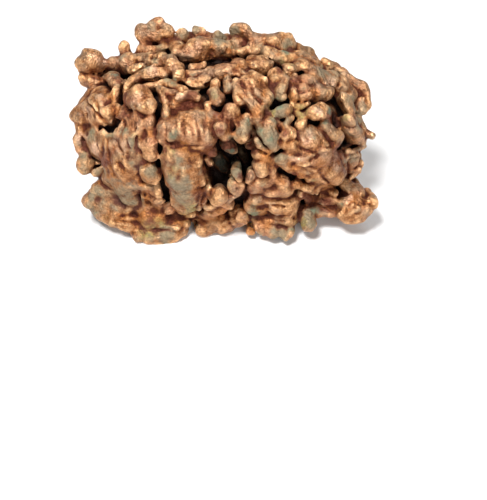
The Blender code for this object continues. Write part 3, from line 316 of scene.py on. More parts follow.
# Gaps, slots and holes between the limbs. Here too the first number is a depth.
GAPS = (
    (1, (-52.2, 25, 0.9), (-51.8, 19, 1.3), (-52.4, 12, 1.6)), (1, (-64, 26.6, 1.6), (-61.4, 27, 1.4)),
    (0, (-67.6, 25, 1.2)), (0, (-55.6, 1.4, 1.5), (-59.6, -1.8, 1.6), (-63.6, -2.6, 1.5)),
    (1, (-54, -0.4, 1.6), (-55.6, -4, 1.4)),
    (2, (-68, -15.4, 1.2), (-64.6, -17.4, 1.5), (-61.6, -17.4, 1.9)),
    (1, (-68.6, -21.4, 1.2), (-64, -20.6, 1.2)), (0, (-40.6, 20, 0.8), (-36, 22, 0.9), (-31, 23.4, 0.8)),
    (2, (-36, 13.4, 2.0), (-35.6, 11.4, 1.6)), (2, (-33.8, 7, 1.8), (-34.2, 8.6, 1.5)),
    (1, (-39, 3.2, 1.0), (-35, 1.6, 1.1)),
    (2, (-31.8, -9.8, 2.4), (-33.8, -13, 2.6), (-34.8, -17.4, 2.0), (-35, -20.6, 1.4)),
    (2, (-34, -29.4, 1.6), (-32.2, -33, 2.4), (-31, -37.4, 2.8)),
    (1, (-20.6, 20.4, 0.8), (-17.4, 17.4, 1.0), (-12, 16, 1.2)), (3, (-9.2, 15.6, 2.0), (-8.6, 13.4, 2.2)),
    (3, (0.4, 12.4, 1.8), (3.6, 11.8, 1.4)), (2, (-9.6, 19.6, 1.1), (-5, 20.6, 0.8)),
    (1, (-17.6, 28, 0.7), (-13, 26.6, 0.8), (-9.6, 27.6, 0.8)),
    (1, (-9, 29.4, 0.8), (-3, 30, 0.9), (3.6, 31.4, 0.9)),
    (1, (6, 32.6, 0.9), (10, 31.8, 1.1), (14, 32, 0.9)), (1, (5.4, 33.6, 0.7), (8, 33.8, 0.7)),
    (1, (20.6, 34.4, 0.6), (24, 31.4, 0.8), (27.6, 28.6, 1.0)), (2, (28.4, 27, 1.5), (30, 26, 1.1)),
    (1, (37, 20.6, 1.0), (38.4, 23.4, 1.1), (41, 25, 0.8)), (1, (40, 15.4, 0.6), (43.6, 16.4, 0.7)),
    (1, (26.6, 11.4, 0.9), (31, 10.6, 1.1), (34, 10.8, 0.9)),
    (2, (22.6, 7.4, 1.3), (22, 4, 1.5), (26, 1, 1.0), (30.4, 0.6, 0.8)),
    (2, (37, 1, 1.3), (37.4, -1.4, 1.3)), (1, (42, -0.4, 0.8), (48, -1, 0.9), (53, 0.4, 0.9)),
    (4, (55, 6.6, 1.8), (57.4, 3.4, 3.2), (58, -1, 2.6)),
    (2, (50, 9.8, 0.8), (55, 8.8, 1.4), (60, 5.4, 1.4), (63.6, 3, 1.0)),
    (2, (56, -13, 1.0), (58.4, -15.2, 1.6), (62, -14, 0.9), (68.6, -12.8, 0.8)),
    (3, (31.8, -25.4, 1.3), (35.4, -29, 1.6), (36.8, -33, 1.2)),
    (2, (38, -38, 1.2), (43, -41.6, 1.8), (50, -44, 1.6), (57, -44, 1.2)),
    (3, (10, -38.4, 1.9), (11.2, -35.6, 1.6), (8.6, -37.6, 1.6)),
    (1, (-19.4, -52.4, 0.8), (-12, -48.6, 1.1), (-3, -44, 0.8)), (1, (-46, -51.4, 0.7), (-38, -50.9, 0.9)),
    (1, (-44, -45.6, 0.5), (-38.6, -47.4, 0.7)), (2, (13.6, -1, 1.3), (14.6, -6, 1.5), (13.2, -11, 1.4)),
    (2, (28.8, -6, 0.8), (28.6, -11, 0.9), (26.6, -15, 0.7)),
    (1, (-40, 44, 0.5), (-34, 42.9, 0.7), (-28, 43, 0.6)),
    (1, (-40.4, 34.4, 0.6), (-36, 33.6, 0.9), (-31, 33.4, 0.8)),
    (0, (-35.2, 40.4, 1.0), (-33.6, 40.2, 0.7)), (1, (-28, 35.8, 0.7)),
    (1, (-48.4, 29.4, 0.7), (-46, 30.6, 0.6)), (1, (-49.4, 24.6, 0.7), (-44, 24.8, 0.6)),
    (1, (12.6, -53.4, 1.0), (14, -54.6, 1.0)), (1, (-10.8, 5, 0.6), (-12, 0.6, 0.6)),
    (1, (-5.6, 9.4, 1.0), (-3.6, 8, 0.8)),
)

# Lumps inside the large hollow.
HOLLOW_LUMPS = (
    (-7, (1, -10.4, 3.0), (3, -12, 2.6)), (-6, (13.6, -11.6, 2.4)), (-2, (-7.4, -13.6, 2.3)),
    (-2, (-10, -17.4, 1.3), (-8.4, -20, 1.4)), (-20, (-4, -17, 3.4), (-1, -23, 3.6)),
    (-22, (9, -15, 3.0), (11, -20, 2.6)), (1, (5.4, -25.2, 2.3), (6.6, -28, 1.8)),
    (0, (3.6, -31.4, 2.2), (8, -31.2, 2.3), (6, -33.6, 2.0)),
)

# Fine creases: (radius, (across, up), ...).
CREASES = (
    (0.6, (-70.6, 14), (-67.4, 8), (-65, 4)), (0.5, (-72.6, 13), (-70.8, 6), (-70.4, 1.4)),
    (0.5, (-47, -2), (-46, -10), (-47, -16)), (0.4, (-51, -6), (-50, -13)),
    (0.5, (-46, -25), (-43.6, -33), (-41.4, -40)), (0.5, (-56, -12), (-54, -18), (-57, -24)),
    (0.5, (-65, -31), (-61, -33), (-59.4, -33.6)), (0.5, (-28, -12.6), (-22, -12.4), (-14, -11.6)),
    (0.5, (44, -14), (50, -13), (55.6, -12)), (0.4, (52, -8.6), (57.4, -10.6)),
    (0.4, (36, -11), (40, -14), (47, -15.6)), (0.4, (34, -22.6), (40, -23.6), (48, -23.6)),
    (0.5, (49, -23), (50, -29), (54, -32.6)), (0.4, (36, -26), (41, -30)), (0.4, (36, -27.6), (40, -31.4)),
    (0.5, (53, 26), (58, 22.6), (64, 17.6), (68, 12.4)), (0.4, (30, 30.6), (37, 29), (46, 25)),
    (0.4, (50, 20), (56, 17.4), (61, 14)), (0.4, (66.6, 12), (69, 6), (69.6, 2.4)),
    (0.4, (-2.4, 42.4), (-2.2, 39)), (0.4, (6.4, 27), (9, 24)), (0.4, (11.6, 20), (16, 13), (18.6, 9)),
    (0.4, (15.4, 20), (19, 13.6)), (0.4, (64, -44), (66, -41.6), (70, -43), (70.6, -47), (67, -48.6)),
    (0.4, (67, -45), (69, -45.6)), (0.4, (22, -43), (30, -43.6), (38, -46)),
    (0.4, (20, -48), (28, -52), (36, -50)), (0.4, (-8, -50), (0, -45), (4, -42)),
    (0.4, (-2, -53), (4, -47.6), (8, -43)),
)

# Ribbed ground: (across, up, reach, direction of the ribs in degrees from across, width of a rib, height).
RIBS = (
    (-67, 9, 11, 118, 4.2, 0.57),
    (-51, -8, 10, 78, 3.6, 0.57),
    (-56, -22, 9, 105, 4.4, 0.57),
    (-43, -34, 8, 100, 3.4, 0.51),
    (-62, -12, 7, 95, 2.8, 0.51),
    (15, 14, 9, 125, 3, 0.68),
    (-24, 16, 7, 150, 3, 0.57),
    (-15, 18, 7, 160, 3, 0.57),
    (-14, -2, 7, 85, 3, 0.7),
    (-22, -3, 7, 95, 3.4, 0.5),
    (-26, -24, 10, 82, 5, 0.45),
    (-12, -37, 6, 80, 2.8, 0.57),
    (42, -18, 12, 10, 5, 0.68),
    (42, -27, 7, 150, 2.8, 0.57),
    (48, -38, 10, 165, 3, 0.68),
    (66, -19, 7, 0, 3, 0.68),
    (66, -44, 7, 40, 3.6, 0.57),
    (27, -47, 9, 20, 4.6, 0.51),
    (0, -46, 9, 28, 3.4, 0.68),
    (-50, -47, 12, 175, 3.4, 0.45),
    (-36, -56, 8, 170, 3.6, 0.45),
    (2, 27, 9, 30, 4, 0.45),
    (36, 27, 10, 155, 3.8, 0.45),
    (58, 18, 9, 140, 3.6, 0.57),
    (-40, 29, 9, 165, 3.4, 0.45),
    (3, 2, 7, 95, 2.6, 0.33),
    (-65, 22, 6, 165, 3, 0.45),
)


class Patina(Enum):
    """The kinds of weathering on the copper, and painted shade. Each value names the attribute that holds
    where it lies.
    """

    OLIVE = "olive"
    YELLOW_GREEN = "yellow_green"
    VERDIGRIS = "verdigris"
    MAROON = "maroon"
    RUST = "rust"
    PALE = "pale"
    # painted shade: a near-black colour laid where shade falls in the large hollow
    PAINTED_SHADE = "painted_shade"


class Hollow(Enum):
    """How deep in a hollow the skin lies, at three reaches; the material paints shade by them. Each value
    names an attribute.
    """

    FINE = "fine_hollow"
    MIDDLE = "middle_hollow"
    DEEP = "deep_hollow"


# Weathered patches, and patches of painted shade, on the show face: what each is, and its rows (across, up,
# reach, strength).
PATCHES = {
    Patina.OLIVE: (
        (-48, -10, 4.5, 1.0), (-46.6, -19, 4.5, 1.0), (-57, -17, 3.5, 0.6), (-24, -31, 6.5, 1.0),
        (-22, -39, 6.0, 1.1), (-26, -20, 6.0, 0.7), (-39.4, -25, 4.4, 0.9), (-66, -37, 6.5, 1.0),
        (-60, -33, 5.0, 0.7), (-56, -38, 8.0, 1.1), (-49, -40, 5.0, 1.0), (-72, -44, 4.0, 0.8),
        (-70, -5, 3.2, 1.2), (-72, -16, 4.0, 0.9),
        (-76, -8, 3.4, 0.7), (-66, -24, 3.2, 1.0), (-73, -22, 3.0, 0.7), (-32, -57, 6.0, 1.0),
        (-42, -57, 5.0, 0.8), (28, -58, 5.5, 1.2), (16, -60, 3.4, 0.8), (9.4, -3.6, 5.2, 1.0),
        (21.6, -8, 6.0, 0.9), (28, 16, 5.5, 1.0), (30, 10, 4.0, 0.9), (-21, 44, 4.0, 1.0),
        (-13.6, 46, 3.0, 1.0), (-2, 43, 4.0, 1.1), (6, 46, 3.0, 1.0), (32.4, 38, 3.6, 1.5),
        (27, 37, 3.0, 0.7), (19, 36, 4.0, 0.6), (41, -6, 4.0, 0.8), (28, -18, 4.0, 0.9),
        (46, -46, 3.0, 1.3), (43, -51, 4.6, 0.9), (-5.6, 14.6, 3.6, 0.9), (1.6, 17, 3.0, 0.6),
        (5.6, -26, 2.8, 1.1), (27, 4, 4.4, 1.1), (33, 1, 3.0, 0.8), (57, 24, 3.2, 0.8),
        (50, 26, 3.6, 0.7), (64, 9, 4.0, 0.8), (71, 6, 4.0, 0.7), (-50, 34, 3.4, 0.5),
        (-52.6, -0.4, 3.0, 0.6), (-30, 38, 4.0, 0.5), (-36, 49, 2.6, 0.5), (66, -20, 5.0, 0.5),
        (71, -1, 4.0, 0.6), (18.4, -24.4, 3.0, 0.5), (56, -9, 3.0, 0.4), (38, 13, 3.0, 0.4),
        (13, -46, 2.4, 1.0), (-27, -6, 3.0, 1.1), (-19, 13.6, 2.4, 0.6), (-9, -54, 4.0, 0.3),
    ),
    Patina.YELLOW_GREEN: (
        (-31.5, -14, 4.5, 0.9), (-28, -24, 3.6, 0.5), (-43, -55, 5.0, 0.9), (39.4, 5.6, 4.4, 1.0),
        (-20, -43, 4.4, 0.7), (39, -53, 3.0, 0.9), (-22, -48, 4.0, 0.5), (-36, -50, 4.0, 0.5),
        (-62, -50, 4.0, 0.5), (33, 31, 4.0, 0.4), (23, 5, 3.0, 0.6), (-5, 14, 3.0, 0.5),
        (62, 4, 4.0, 0.7), (26, 19, 4.0, 0.4), (-33, 36, 3.0, 0.3), (13, -50, 3.0, 0.7),
        (-46, -6, 3.0, 0.4), (48, -31, 3.6, 0.4),
    ),
    Patina.VERDIGRIS: (
        (-26.6, 21.6, 2.8, 1.2), (-29.6, 23.4, 2.0, 0.9), (-26.4, -5.4, 3.2, 0.8), (-3, -20, 3.0, 1.3),
        (-2, -26, 4.0, 1.4), (3, -17, 3.4, 1.2), (9, -22, 3.6, 1.1), (1, -30, 3.0, 1.0),
        (14.8, -48, 2.2, 1.6), (14, -44, 2.0, 1.2), (32, 36, 2.4, 0.8), (-40, 28.6, 2.6, 0.8),
        (-35, 32, 2.2, 0.8), (27.6, 9.6, 3.0, 1.0), (22.4, 7, 2.4, 0.9), (-53, -3, 2.6, 0.9),
        (-60, -3.6, 3.2, 0.9), (-68.6, -3, 2.4, 0.8), (17.6, -4, 2.6, 0.9), (24, -9, 2.0, 0.7),
        (46, -46, 2.6, 1.0), (-58, 27, 2.4, 0.8), (-55, 25, 2.0, 0.7), (12, 0, 2.4, 0.8),
        (-4, 31, 2.0, 0.6), (6, 37, 2.2, 0.5), (40, 16, 2.0, 0.7), (-70, -44, 3.0, 0.5),
        (34, -56, 2.6, 0.7), (20, -33, 2.6, 0.5), (60, -44, 2.4, 0.6), (52, -1, 2.4, 0.7),
        (46, -8, 2.0, 0.5), (-16, 25, 2.0, 0.6), (-66, -39, 2.4, 0.4), (-12, 4, 2.4, 0.7),
        (3.6, -8, 2.4, 0.6), (56, 6, 3.0, 0.6), (-32, 4, 2.6, 0.5), (63, -12, 3.0, 0.6),
    ),
    Patina.MAROON: (
        (-51.4, 13, 4.5, 1.1), (-50.4, 6, 3.6, 1.1), (-31, 14, 4.0, 0.9), (-27, 16, 4.0, 0.5),
        (-33.6, 5, 3.0, 1.0), (-17, 13, 4.0, 0.9), (-12, 10, 3.0, 0.8), (-2, 4, 4.6, 1.0),
        (3, 0, 4.4, 0.9), (-2.6, -4, 3.4, 0.9), (2, -12, 4.4, 1.3), (-8, -15, 4.0, 1.2),
        (13, -13, 4.0, 1.2), (-9, -24, 4.0, 1.1), (10, -28, 3.6, 0.9), (-13, -37, 4.6, 1.0),
        (-63, -17.6, 4.6, 1.2), (-60, -14, 3.4, 0.7), (43, -41, 5.0, 1.2), (52, -43, 4.6, 1.1),
        (60, -15, 4.6, 1.1), (62, -25, 4.0, 0.7), (36.6, 20, 3.0, 1.1), (41, 24, 2.6, 0.7),
        (-14, 26.6, 3.6, 0.5), (29, 27, 2.6, 1.1), (57, 2, 4.6, 1.2), (35, -29, 4.0, 1.0),
        (10.6, -37, 3.2, 1.2), (-33.6, -13, 3.0, 1.1), (-32, -34, 3.6, 1.1), (-57, 2, 4.0, 0.9),
        (-54, 24, 3.6, 0.8), (-40, -47, 3.0, 0.9), (-40, -51, 4.0, 0.8), (-14, -50, 4.0, 0.8),
        (1, 12, 3.4, 0.8), (-9, 15, 2.6, 1.1), (21, 2, 3.0, 0.8), (14, -6, 3.0, 1.0),
        (15, 33, 3.4, 0.5), (9, 32.6, 3.0, 0.6), (-35, 36, 3.0, 0.5), (-66, 25, 3.0, 0.8),
        (-43, 21, 3.4, 0.6), (31, -6, 2.8, 0.6), (49, -1, 3.4, 0.6), (58, -20, 3.6, 0.7),
    ),
    Patina.RUST: (
        (21, -17, 4.6, 1.1), (25, -21, 3.6, 0.8), (-56, -47, 4.6, 0.8), (-46, -47.6, 4.6, 0.9),
        (-36, -47, 4.4, 0.9), (-26, -49.6, 4.4, 0.9), (12.4, -56, 3.4, 1.2), (-43, -28, 3.4, 1.0),
        (-41.6, -38, 3.6, 1.1), (35.6, 12.6, 3.2, 1.0), (30, 5, 3.4, 0.8), (-22, -12, 4.4, 0.8),
        (-15.6, -15, 3.4, 0.8), (38, -30, 4.6, 0.9), (28, -30, 4.0, 0.7), (-61, -24, 4.0, 0.7),
        (-59, 14, 4.0, 0.8), (-57, 7, 3.4, 0.8), (36, -23, 4.0, 0.8), (50, -24, 4.6, 0.7),
        (54, -35, 4.4, 0.7), (67, -41, 4.0, 0.8), (62, -48, 4.0, 0.6), (20, -52, 4.4, 0.7),
        (32, -44, 4.4, 0.6), (-2, -47, 5.0, 0.8), (-10, -52, 4.4, 0.6), (7, -44, 4.0, 0.7),
        (8, 45.4, 2.8, 1.0), (13, 33, 3.6, 0.7), (5, 35, 3.4, 0.8), (-13, 31, 3.4, 0.7),
        (-27, 29, 3.4, 0.4), (-64, 2, 4.0, 0.5), (-67, 28, 3.4, 0.4), (46, 14, 3.4, 0.6),
        (49, 0, 3.6, 0.5), (-39, -4, 2.8, 0.6), (-52, -22, 3.6, 0.4), (17, 5, 3.4, 0.7),
        (22, 15, 3.0, 0.6), (34, -11, 4.0, 0.6), (45, -13, 4.0, 0.6), (8, -6, 2.6, 0.5),
    ),
    Patina.PALE: (
        (-68, -12, 3.0, 1.0), (-64, -16, 2.6, 1.0), (-75, -6, 3.6, 0.7),
        (11, 36, 4.6, 0.6), (-23, 13, 2.6, 0.9), (-66, 33, 3.6, 0.6), (-45, 14, 4.0, 0.6),
        (-71, 6, 4.0, 0.6), (-63, 12, 4.0, 0.5), (-14, 37, 4.0, 0.5), (49.6, 4.6, 3.0, 0.6),
        (43, -10, 5.0, 0.5), (38, -19, 4.0, 0.5), (-54, -10, 4.0, 0.5), (-46, 2, 3.6, 0.5),
        (26, -45, 4.4, 0.3), (56, -24, 3.4, 0.3), (64, -40, 3.0, 0.4), (-26, 28, 4.0, 0.5),
        (18, 29, 4.0, 0.4), (-36, 26, 3.6, 0.4), (-62, 33, 3.0, 0.4), (56, 19, 3.6, 0.4),
    ),
    # painted shade: near black laid in the large hollow, where shade falls
    Patina.PAINTED_SHADE: (
        (3, -20, 13.0, 2.2), (0, -29, 9.0, 1.8), (12, -14, 8.0, 2.0), (-8, -18, 6.0, 1.2),
    ),
}


def unit(vectors: np.ndarray) -> np.ndarray:
    """The vectors at length 1."""
    return vectors / np.linalg.norm(vectors, axis=-1)[..., None]


def smoothstep(value: np.ndarray, low: float, high: float) -> np.ndarray:
    """0 up to low, 1 from high, and an even S-shaped rise between: t squared times (3 less 2 t)."""
    t = np.clip((value - low) / (high - low), 0.0, 1.0)
    return t * t * (3.0 - 2.0 * t)


@dataclass
class ShowFace:
    """The side that the nugget is displayed by: a flat display plane seen from one viewpoint."""

    viewpoint: tuple = (9.4, -338.0, 305.0)
    middle: tuple = (0.0, 0.0, 45.0)
    reach: float = 110.0
    samples: int = 881

    def __post_init__(self) -> None:
        """Works out the plane's own directions."""
        self.eye = np.array(self.viewpoint)
        self.centre = np.array(self.middle)
        self.sight = unit(self.eye - self.centre)
        self.across = unit(np.cross([0.0, 0.0, 1.0], self.sight))
        self.up = np.cross(self.sight, self.across)

    def sight_line(self, across: float, up: float) -> tuple[np.ndarray, np.ndarray]:
        """The line of sight through one place of the display plane.

        Args:
            across: Millimetres to the right on the plane.
            up: Millimetres up the plane.

        Returns:
            Points along the line, nearest to the viewpoint first, and the direction to the viewpoint.
        """
        shown = self.centre + across * self.across + up * self.up
        towards = unit(self.eye - shown)
        return shown + np.linspace(self.reach, -self.reach, self.samples)[:, None] * towards, towards

    def shown_at(self, points: np.ndarray) -> np.ndarray:
        """Where points show on the display plane: the line from the viewpoint to each, cut by the plane.

        Args:
            points: Places in millimetres, one a row.

        Returns:
            Their (across, up), one a row.
        """
        ray = points - self.eye
        share = ((self.centre - self.eye) @ self.sight) / (ray @ self.sight)
        on_plane = self.eye + ray * share[:, None] - self.centre
        return np.column_stack([on_plane @ self.across, on_plane @ self.up])


@dataclass
class Egg:
    """The egg-shaped skin that the limbs' middle lines lie on."""

    centre: tuple = (0.0, 0.0, 40.5)
    half: tuple = (68.0, 40.0, 40.0)
    round_long: float = 2.3
    round_side: float = 2.7
    filler_depth: float = 5.0

    def __post_init__(self) -> None:
        """Keeps the sizes as arrays."""
        self.middle = np.array(self.centre)
        self.halves = np.array(self.half)

    def measure(self, points: np.ndarray, depth: float = 0.0) -> np.ndarray:
        """How far out the points lie: 1 on the egg, less inside it.

        The formula is a superellipsoid: the y and z shares, raised to round_side and summed, give the side
        share, and the x share and the side share, raised to round_long and summed, give the measure.

        Args:
            points: Places in millimetres, on the last axis.
            depth: How much smaller the egg is all round.

        Returns:
            The measure of each point.
        """
        x, y, z = np.moveaxis(np.abs((points - self.middle) / (self.halves - depth)), -1, 0)
        side = (y**self.round_side + z**self.round_side) ** (1.0 / self.round_side)
        return (x**self.round_long + side**self.round_long) ** (1.0 / self.round_long)

    def outward(self, points: np.ndarray) -> np.ndarray:
        """Directions straight out of the egg at the points."""
        return unit((points - self.middle) / self.halves**2)

    def place(
        self, face: ShowFace, across: float, up: float, stand_out: float
    ) -> tuple[np.ndarray, np.ndarray]:
        """The place that shows at (across, up) that far outside the egg.

        Args:
            face: The show face.
            across: Millimetres to the right on the display plane.
            up: Millimetres up it.
            stand_out: Millimetres from the egg towards the viewpoint.

        Returns:
            The place and the direction to the viewpoint.
        """
        line, towards = face.sight_line(across, up)
        measure = self.measure(line)
        inside = np.flatnonzero(measure < 1.0)
        nearest = inside[0] if len(inside) else int(np.argmin(measure))
        return line[nearest] + stand_out * towards, towards


def smooth_path(points: np.ndarray, radii: np.ndarray, step: float = 2.5) -> tuple[np.ndarray, np.ndarray]:
    """A Catmull-Rom curve through the points, with the radius carried along it.

    The formula: between two knots, each place is half the sum of the four knots round it, each one times
    a cubic of how far along the step the place lies.

    Args:
        points: The places that the path goes through, one a row.
        radii: The radius at each of them.
        step: The rough length of one step along the curve.

    Returns:
        The curve's points and its radii.
    """
    if len(points) < 3:
        return points, radii
    knots = np.column_stack([points, radii])
    before = np.append(2 * points[0] - points[1], radii[0])
    after = np.append(2 * points[-1] - points[-2], radii[-1])
    knots = np.vstack([before, knots, after])
    path = []
    for i in range(1, len(knots) - 2):
        steps = max(1, int(np.linalg.norm(knots[i + 1, :3] - knots[i, :3]) / step))
        t = (np.arange(steps) / steps)[:, None]
        weights = [2 * t**2 - t - t**3, 2 - 5 * t**2 + 3 * t**3, t + 4 * t**2 - 3 * t**3, t**3 - t**2]
        path.append(sum(weight * knots[i - 1 + k] for k, weight in enumerate(weights)) / 2)
    path = np.vstack(path + [knots[-2:-1]])
    return path[:, :3], path[:, 3]


@dataclass
class MetalField:
    """The metal as a grid of distances in millimetres: below 0 inside the metal, above 0 outside it."""

    low: tuple = (-90.0, -60.0, -4.0)
    high: tuple = (90.0, 66.0, 100.0)
    spacing: float = SPACING
    far: float = 50.0
    seed: int = 3
    noise_gain: float = 2.2
    warp: float = 1.0
    warp_cell: float = 8.0
    fine_warp: float = 0.7
    fine_warp_cell: float = 3.6
    wander_cell: float = 7.0
    rib_wander: float = 2.4
    swell_limit: float = 0.6
    swell_middle: float = 0.3
    window_margin: float = 3.0

    def __post_init__(self) -> None:
        """Makes an empty grid, and the noise that keeps limbs and ribs from being too even."""
        self.origin = np.array(self.low)
        self.shape = (np.ceil((np.array(self.high) - self.origin) / self.spacing) + 1).astype(int)
        self.distance = np.full(self.shape, self.far, np.float32)
        self.chance = np.random.default_rng(self.seed)
        self.warps = [
            self.warp * (self.noise(self.warp_cell) + self.fine_warp * self.noise(self.fine_warp_cell))
            for _ in range(3)
        ]
        self.wander = np.clip(self.noise(self.wander_cell), -1.0, 1.0)

    def noise(self, cell: float) -> np.ndarray:
        """Smooth noise over the whole grid, from about -1 to 1.

        The formula: a coarse grid of random numbers, one for each cell, is blended along x, y and z in turn
        by cubic B-spline weights.

        Args:
            cell: The width of one cell of the noise, in millimetres.

        Returns:
            One value for each grid point.
        """
        coarse = [int(np.ceil((size - 1) * self.spacing / cell)) + 5 for size in self.shape]
        grid = self.chance.uniform(-1, 1, coarse).astype(np.float32)
        for axis, (fine, count) in enumerate(zip(self.shape, coarse)):
            place = np.arange(fine) * self.spacing / cell + 1.0
            first = np.floor(place).astype(int)
            t = place - first
            weights = [(1 - t) ** 3, 3 * t**3 - 6 * t**2 + 4, 3 * t + 3 * t**2 - 3 * t**3 + 1, t**3]
            blend = np.zeros((fine, count), np.float32)
            for k, weight in enumerate(weights):
                blend[np.arange(fine), first - 1 + k] = weight / 6
            grid = np.moveaxis(np.tensordot(blend, grid, (1, axis)), 0, axis)
        return grid * self.noise_gain

    def window(self, low: np.ndarray, high: np.ndarray) -> tuple[slice, slice, slice]:
        """The part of the grid between two corners.

        Args:
            low: The lowest corner, in millimetres.
            high: The highest corner.

        Returns:
            A slice along each axis.
        """
        first = np.clip(((low - self.origin) / self.spacing).astype(int), 0, self.shape)
        last = np.clip(((high - self.origin) / self.spacing).astype(int) + 2, 0, self.shape)
        return tuple(slice(a, b) for a, b in zip(first, last))

    def coordinates(self, part: tuple, warped: bool = True) -> list[np.ndarray]:
        """The x, y and z of a part of the grid.

        Args:
            part: A slice along each axis.
            warped: Whether the warp pushes them about.

        Returns:
            Three arrays that spread over the part.
        """
        lines = [self.origin[k] + self.spacing * np.arange(s.start, s.stop) for k, s in enumerate(part)]
        axes = np.meshgrid(*[line.astype(np.float32) for line in lines], indexing="ij", sparse=True)
        return [axis + push[part] for axis, push in zip(axes, self.warps)] if warped else axes

    def around(self, points: np.ndarray, radii: np.ndarray, blend: float) -> tuple[slice, slice, slice]:
        """The part of the grid that a limb can change.

        Args:
            points: The limb's path.
            radii: The limb's radius at each point of the path.
            blend: The width of its fillet.

        Returns:
            A slice along each axis.
        """
        reach = radii.max() + blend + 2 * self.spacing + self.window_margin
        return self.window(points.min(0) - reach, points.max(0) + reach)

    def limb_distance(self, points: np.ndarray, radii: np.ndarray, part: tuple) -> np.ndarray:
        """Distance from a limb's surface.

        The formula: for each step of the path, the distance to the step less the radius there, which goes
        evenly from one end's radius to the other's. The least of these over all steps is the distance.

        Args:
            points: The limb's path.
            radii: The limb's radius at each point of the path.
            part: The part of the grid to work on.

        Returns:
            The distance at each point of that part.
        """
        x, y, z = self.coordinates(part)
        points, radii = points.astype(np.float32), radii.astype(np.float32)
        if len(points) == 1:
            points, radii = np.vstack([points, points]), np.append(radii, radii)
        best = None
        for a, b, start, end in zip(points[:-1], points[1:], radii[:-1], radii[1:]):
            step = b - a
            length = step @ step + np.float32(1e-6)  # a step of no length doesn't divide by 0
            share = ((x - a[0]) * step[0] + (y - a[1]) * step[1] + (z - a[2]) * step[2]) / length
            share = np.clip(share, 0, 1)
            gap = (x - a[0] - share * step[0]) ** 2 + (y - a[1] - share * step[1]) ** 2
            gap = np.sqrt(gap + (z - a[2] - share * step[2]) ** 2) - (start + share * (end - start))
            best = gap if best is None else np.minimum(best, gap)
        return best

    def melt_in(self, points: np.ndarray, radii: np.ndarray, blend: float) -> None:
        """Adds a limb, with a soft fillet where it meets the metal.

        The formula is a smooth minimum: the smaller distance, less a quarter of the blend times the square
        of how nearly the two distances are equal.

        Args:
            points: The limb's path.
            radii: The limb's radius at each point of the path.
            blend: The width of the fillet.
        """
        part = self.around(points, radii, blend)
        limb, here = self.limb_distance(points, radii, part), self.distance[part]
        overlap = np.maximum(blend - np.abs(here - limb), 0) / blend
        here[:] = np.minimum(here, limb) - overlap**2 * blend / 4

    def cut_out(self, points: np.ndarray, radii: np.ndarray, blend: float = 0.5) -> None:
        """Takes a limb's space out of the metal, with a soft lip: a smooth maximum, as melt_in is a minimum.

        Args:
            points: The path of the space.
            radii: The radius at each point of the path.
            blend: The width of the lip.
        """
        part = self.around(points, radii, blend)
        space, here = -self.limb_distance(points, radii, part), self.distance[part]
        overlap = np.maximum(blend - np.abs(here - space), 0) / blend
        here[:] = np.maximum(here, space) + overlap**2 * blend / 4

    def fill_egg(self, egg: Egg) -> None:
        """Fills the egg under the limbs with metal.

        Args:
            egg: The egg. The metal stays its filler depth under it.
        """
        x, y, z = self.coordinates(tuple(slice(0, size) for size in self.shape), warped=False)
        points = np.stack(np.broadcast_arrays(x, y, z), axis=-1)
        measure = egg.measure(points, egg.filler_depth)
        scale = egg.halves.mean() - egg.filler_depth
        self.distance = np.minimum(self.distance, ((measure - 1.0) * scale).astype(np.float32))

    def swell(self, lumps: tuple) -> None:
        """Covers the metal with small swellings and ridges.

        The formula: the height times the size of the noise, which is held to a limit, less a middle value.
        A height above 0 gives swellings with creases between them, and one below 0 gives ridges.

        Args:
            lumps: (cell width, height) of each size of swelling.
        """
        for cell, height in lumps:
            size = np.minimum(np.abs(self.noise(cell)), self.swell_limit)
            self.distance -= height * (size - self.swell_middle)

    def rib(self, place: np.ndarray, along: np.ndarray, reach: float, width: float, height: float) -> None:
        """Draws ribs into the metal round a place.

        The formula is a sine wave across the ribs, shifted and thinned by noise, and faded out by distance.

        Args:
            place: The middle of the ribbed ground.
            along: The direction across the ribs.
            reach: How far the ribs go from the middle.
            width: From one rib to the next.
            height: Half the height of a rib.
        """
        part = self.window(place - reach, place + reach)
        x, y, z = [axis - middle for axis, middle in zip(self.coordinates(part), place)]
        fade = np.clip(1.0 - (x * x + y * y + z * z) / reach**2, 0.0, 1.0)
        wander = self.wander[part]
        across = x * along[0] + y * along[1] + z * along[2]
        wave = np.sin(across * (2 * np.pi / width) + self.rib_wander * wander)
        self.distance[part] -= height * fade * wave * (1.0 - np.abs(wander))

    def first_metal(self, line: np.ndarray) -> np.ndarray | None:
        """The first place inside the metal along a line.

        Args:
            line: Points along the line, in millimetres.

        Returns:
            The place, or None where the line misses the metal.
        """
        index = np.round((line - self.origin) / self.spacing).astype(int)
        on_grid = ((index >= 0) & (index < self.shape)).all(axis=1)
        index = np.clip(index, 0, self.shape - 1)
        hits = np.flatnonzero(on_grid & (self.distance[tuple(index.T)] < 0))
        return line[hits[0]] if len(hits) else None

    def wear_base(self) -> None:
        """Wears the metal flat at height 0."""
        height = self.origin[2] + self.spacing * np.arange(self.shape[2])
        self.distance = np.maximum(self.distance, -height[None, None, :].astype(np.float32))

    def sample(self, values: np.ndarray, points: np.ndarray) -> np.ndarray:
        """Values of a grid at any points, blended between the eight grid points round each.

        Args:
            values: One value for each grid point.
            points: Places in millimetres, one a row.

        Returns:
            One value for each place.
        """
        place = np.clip((points - self.origin) / self.spacing, 0, self.shape - 1.001)
        first = place.astype(int)
        t = place - first
        total = np.zeros(len(points))
        for corner in np.ndindex(2, 2, 2):
            weight = np.prod(np.where(corner, t, 1 - t), axis=1)
            total += weight * values[tuple((first + corner).T)]
        return total

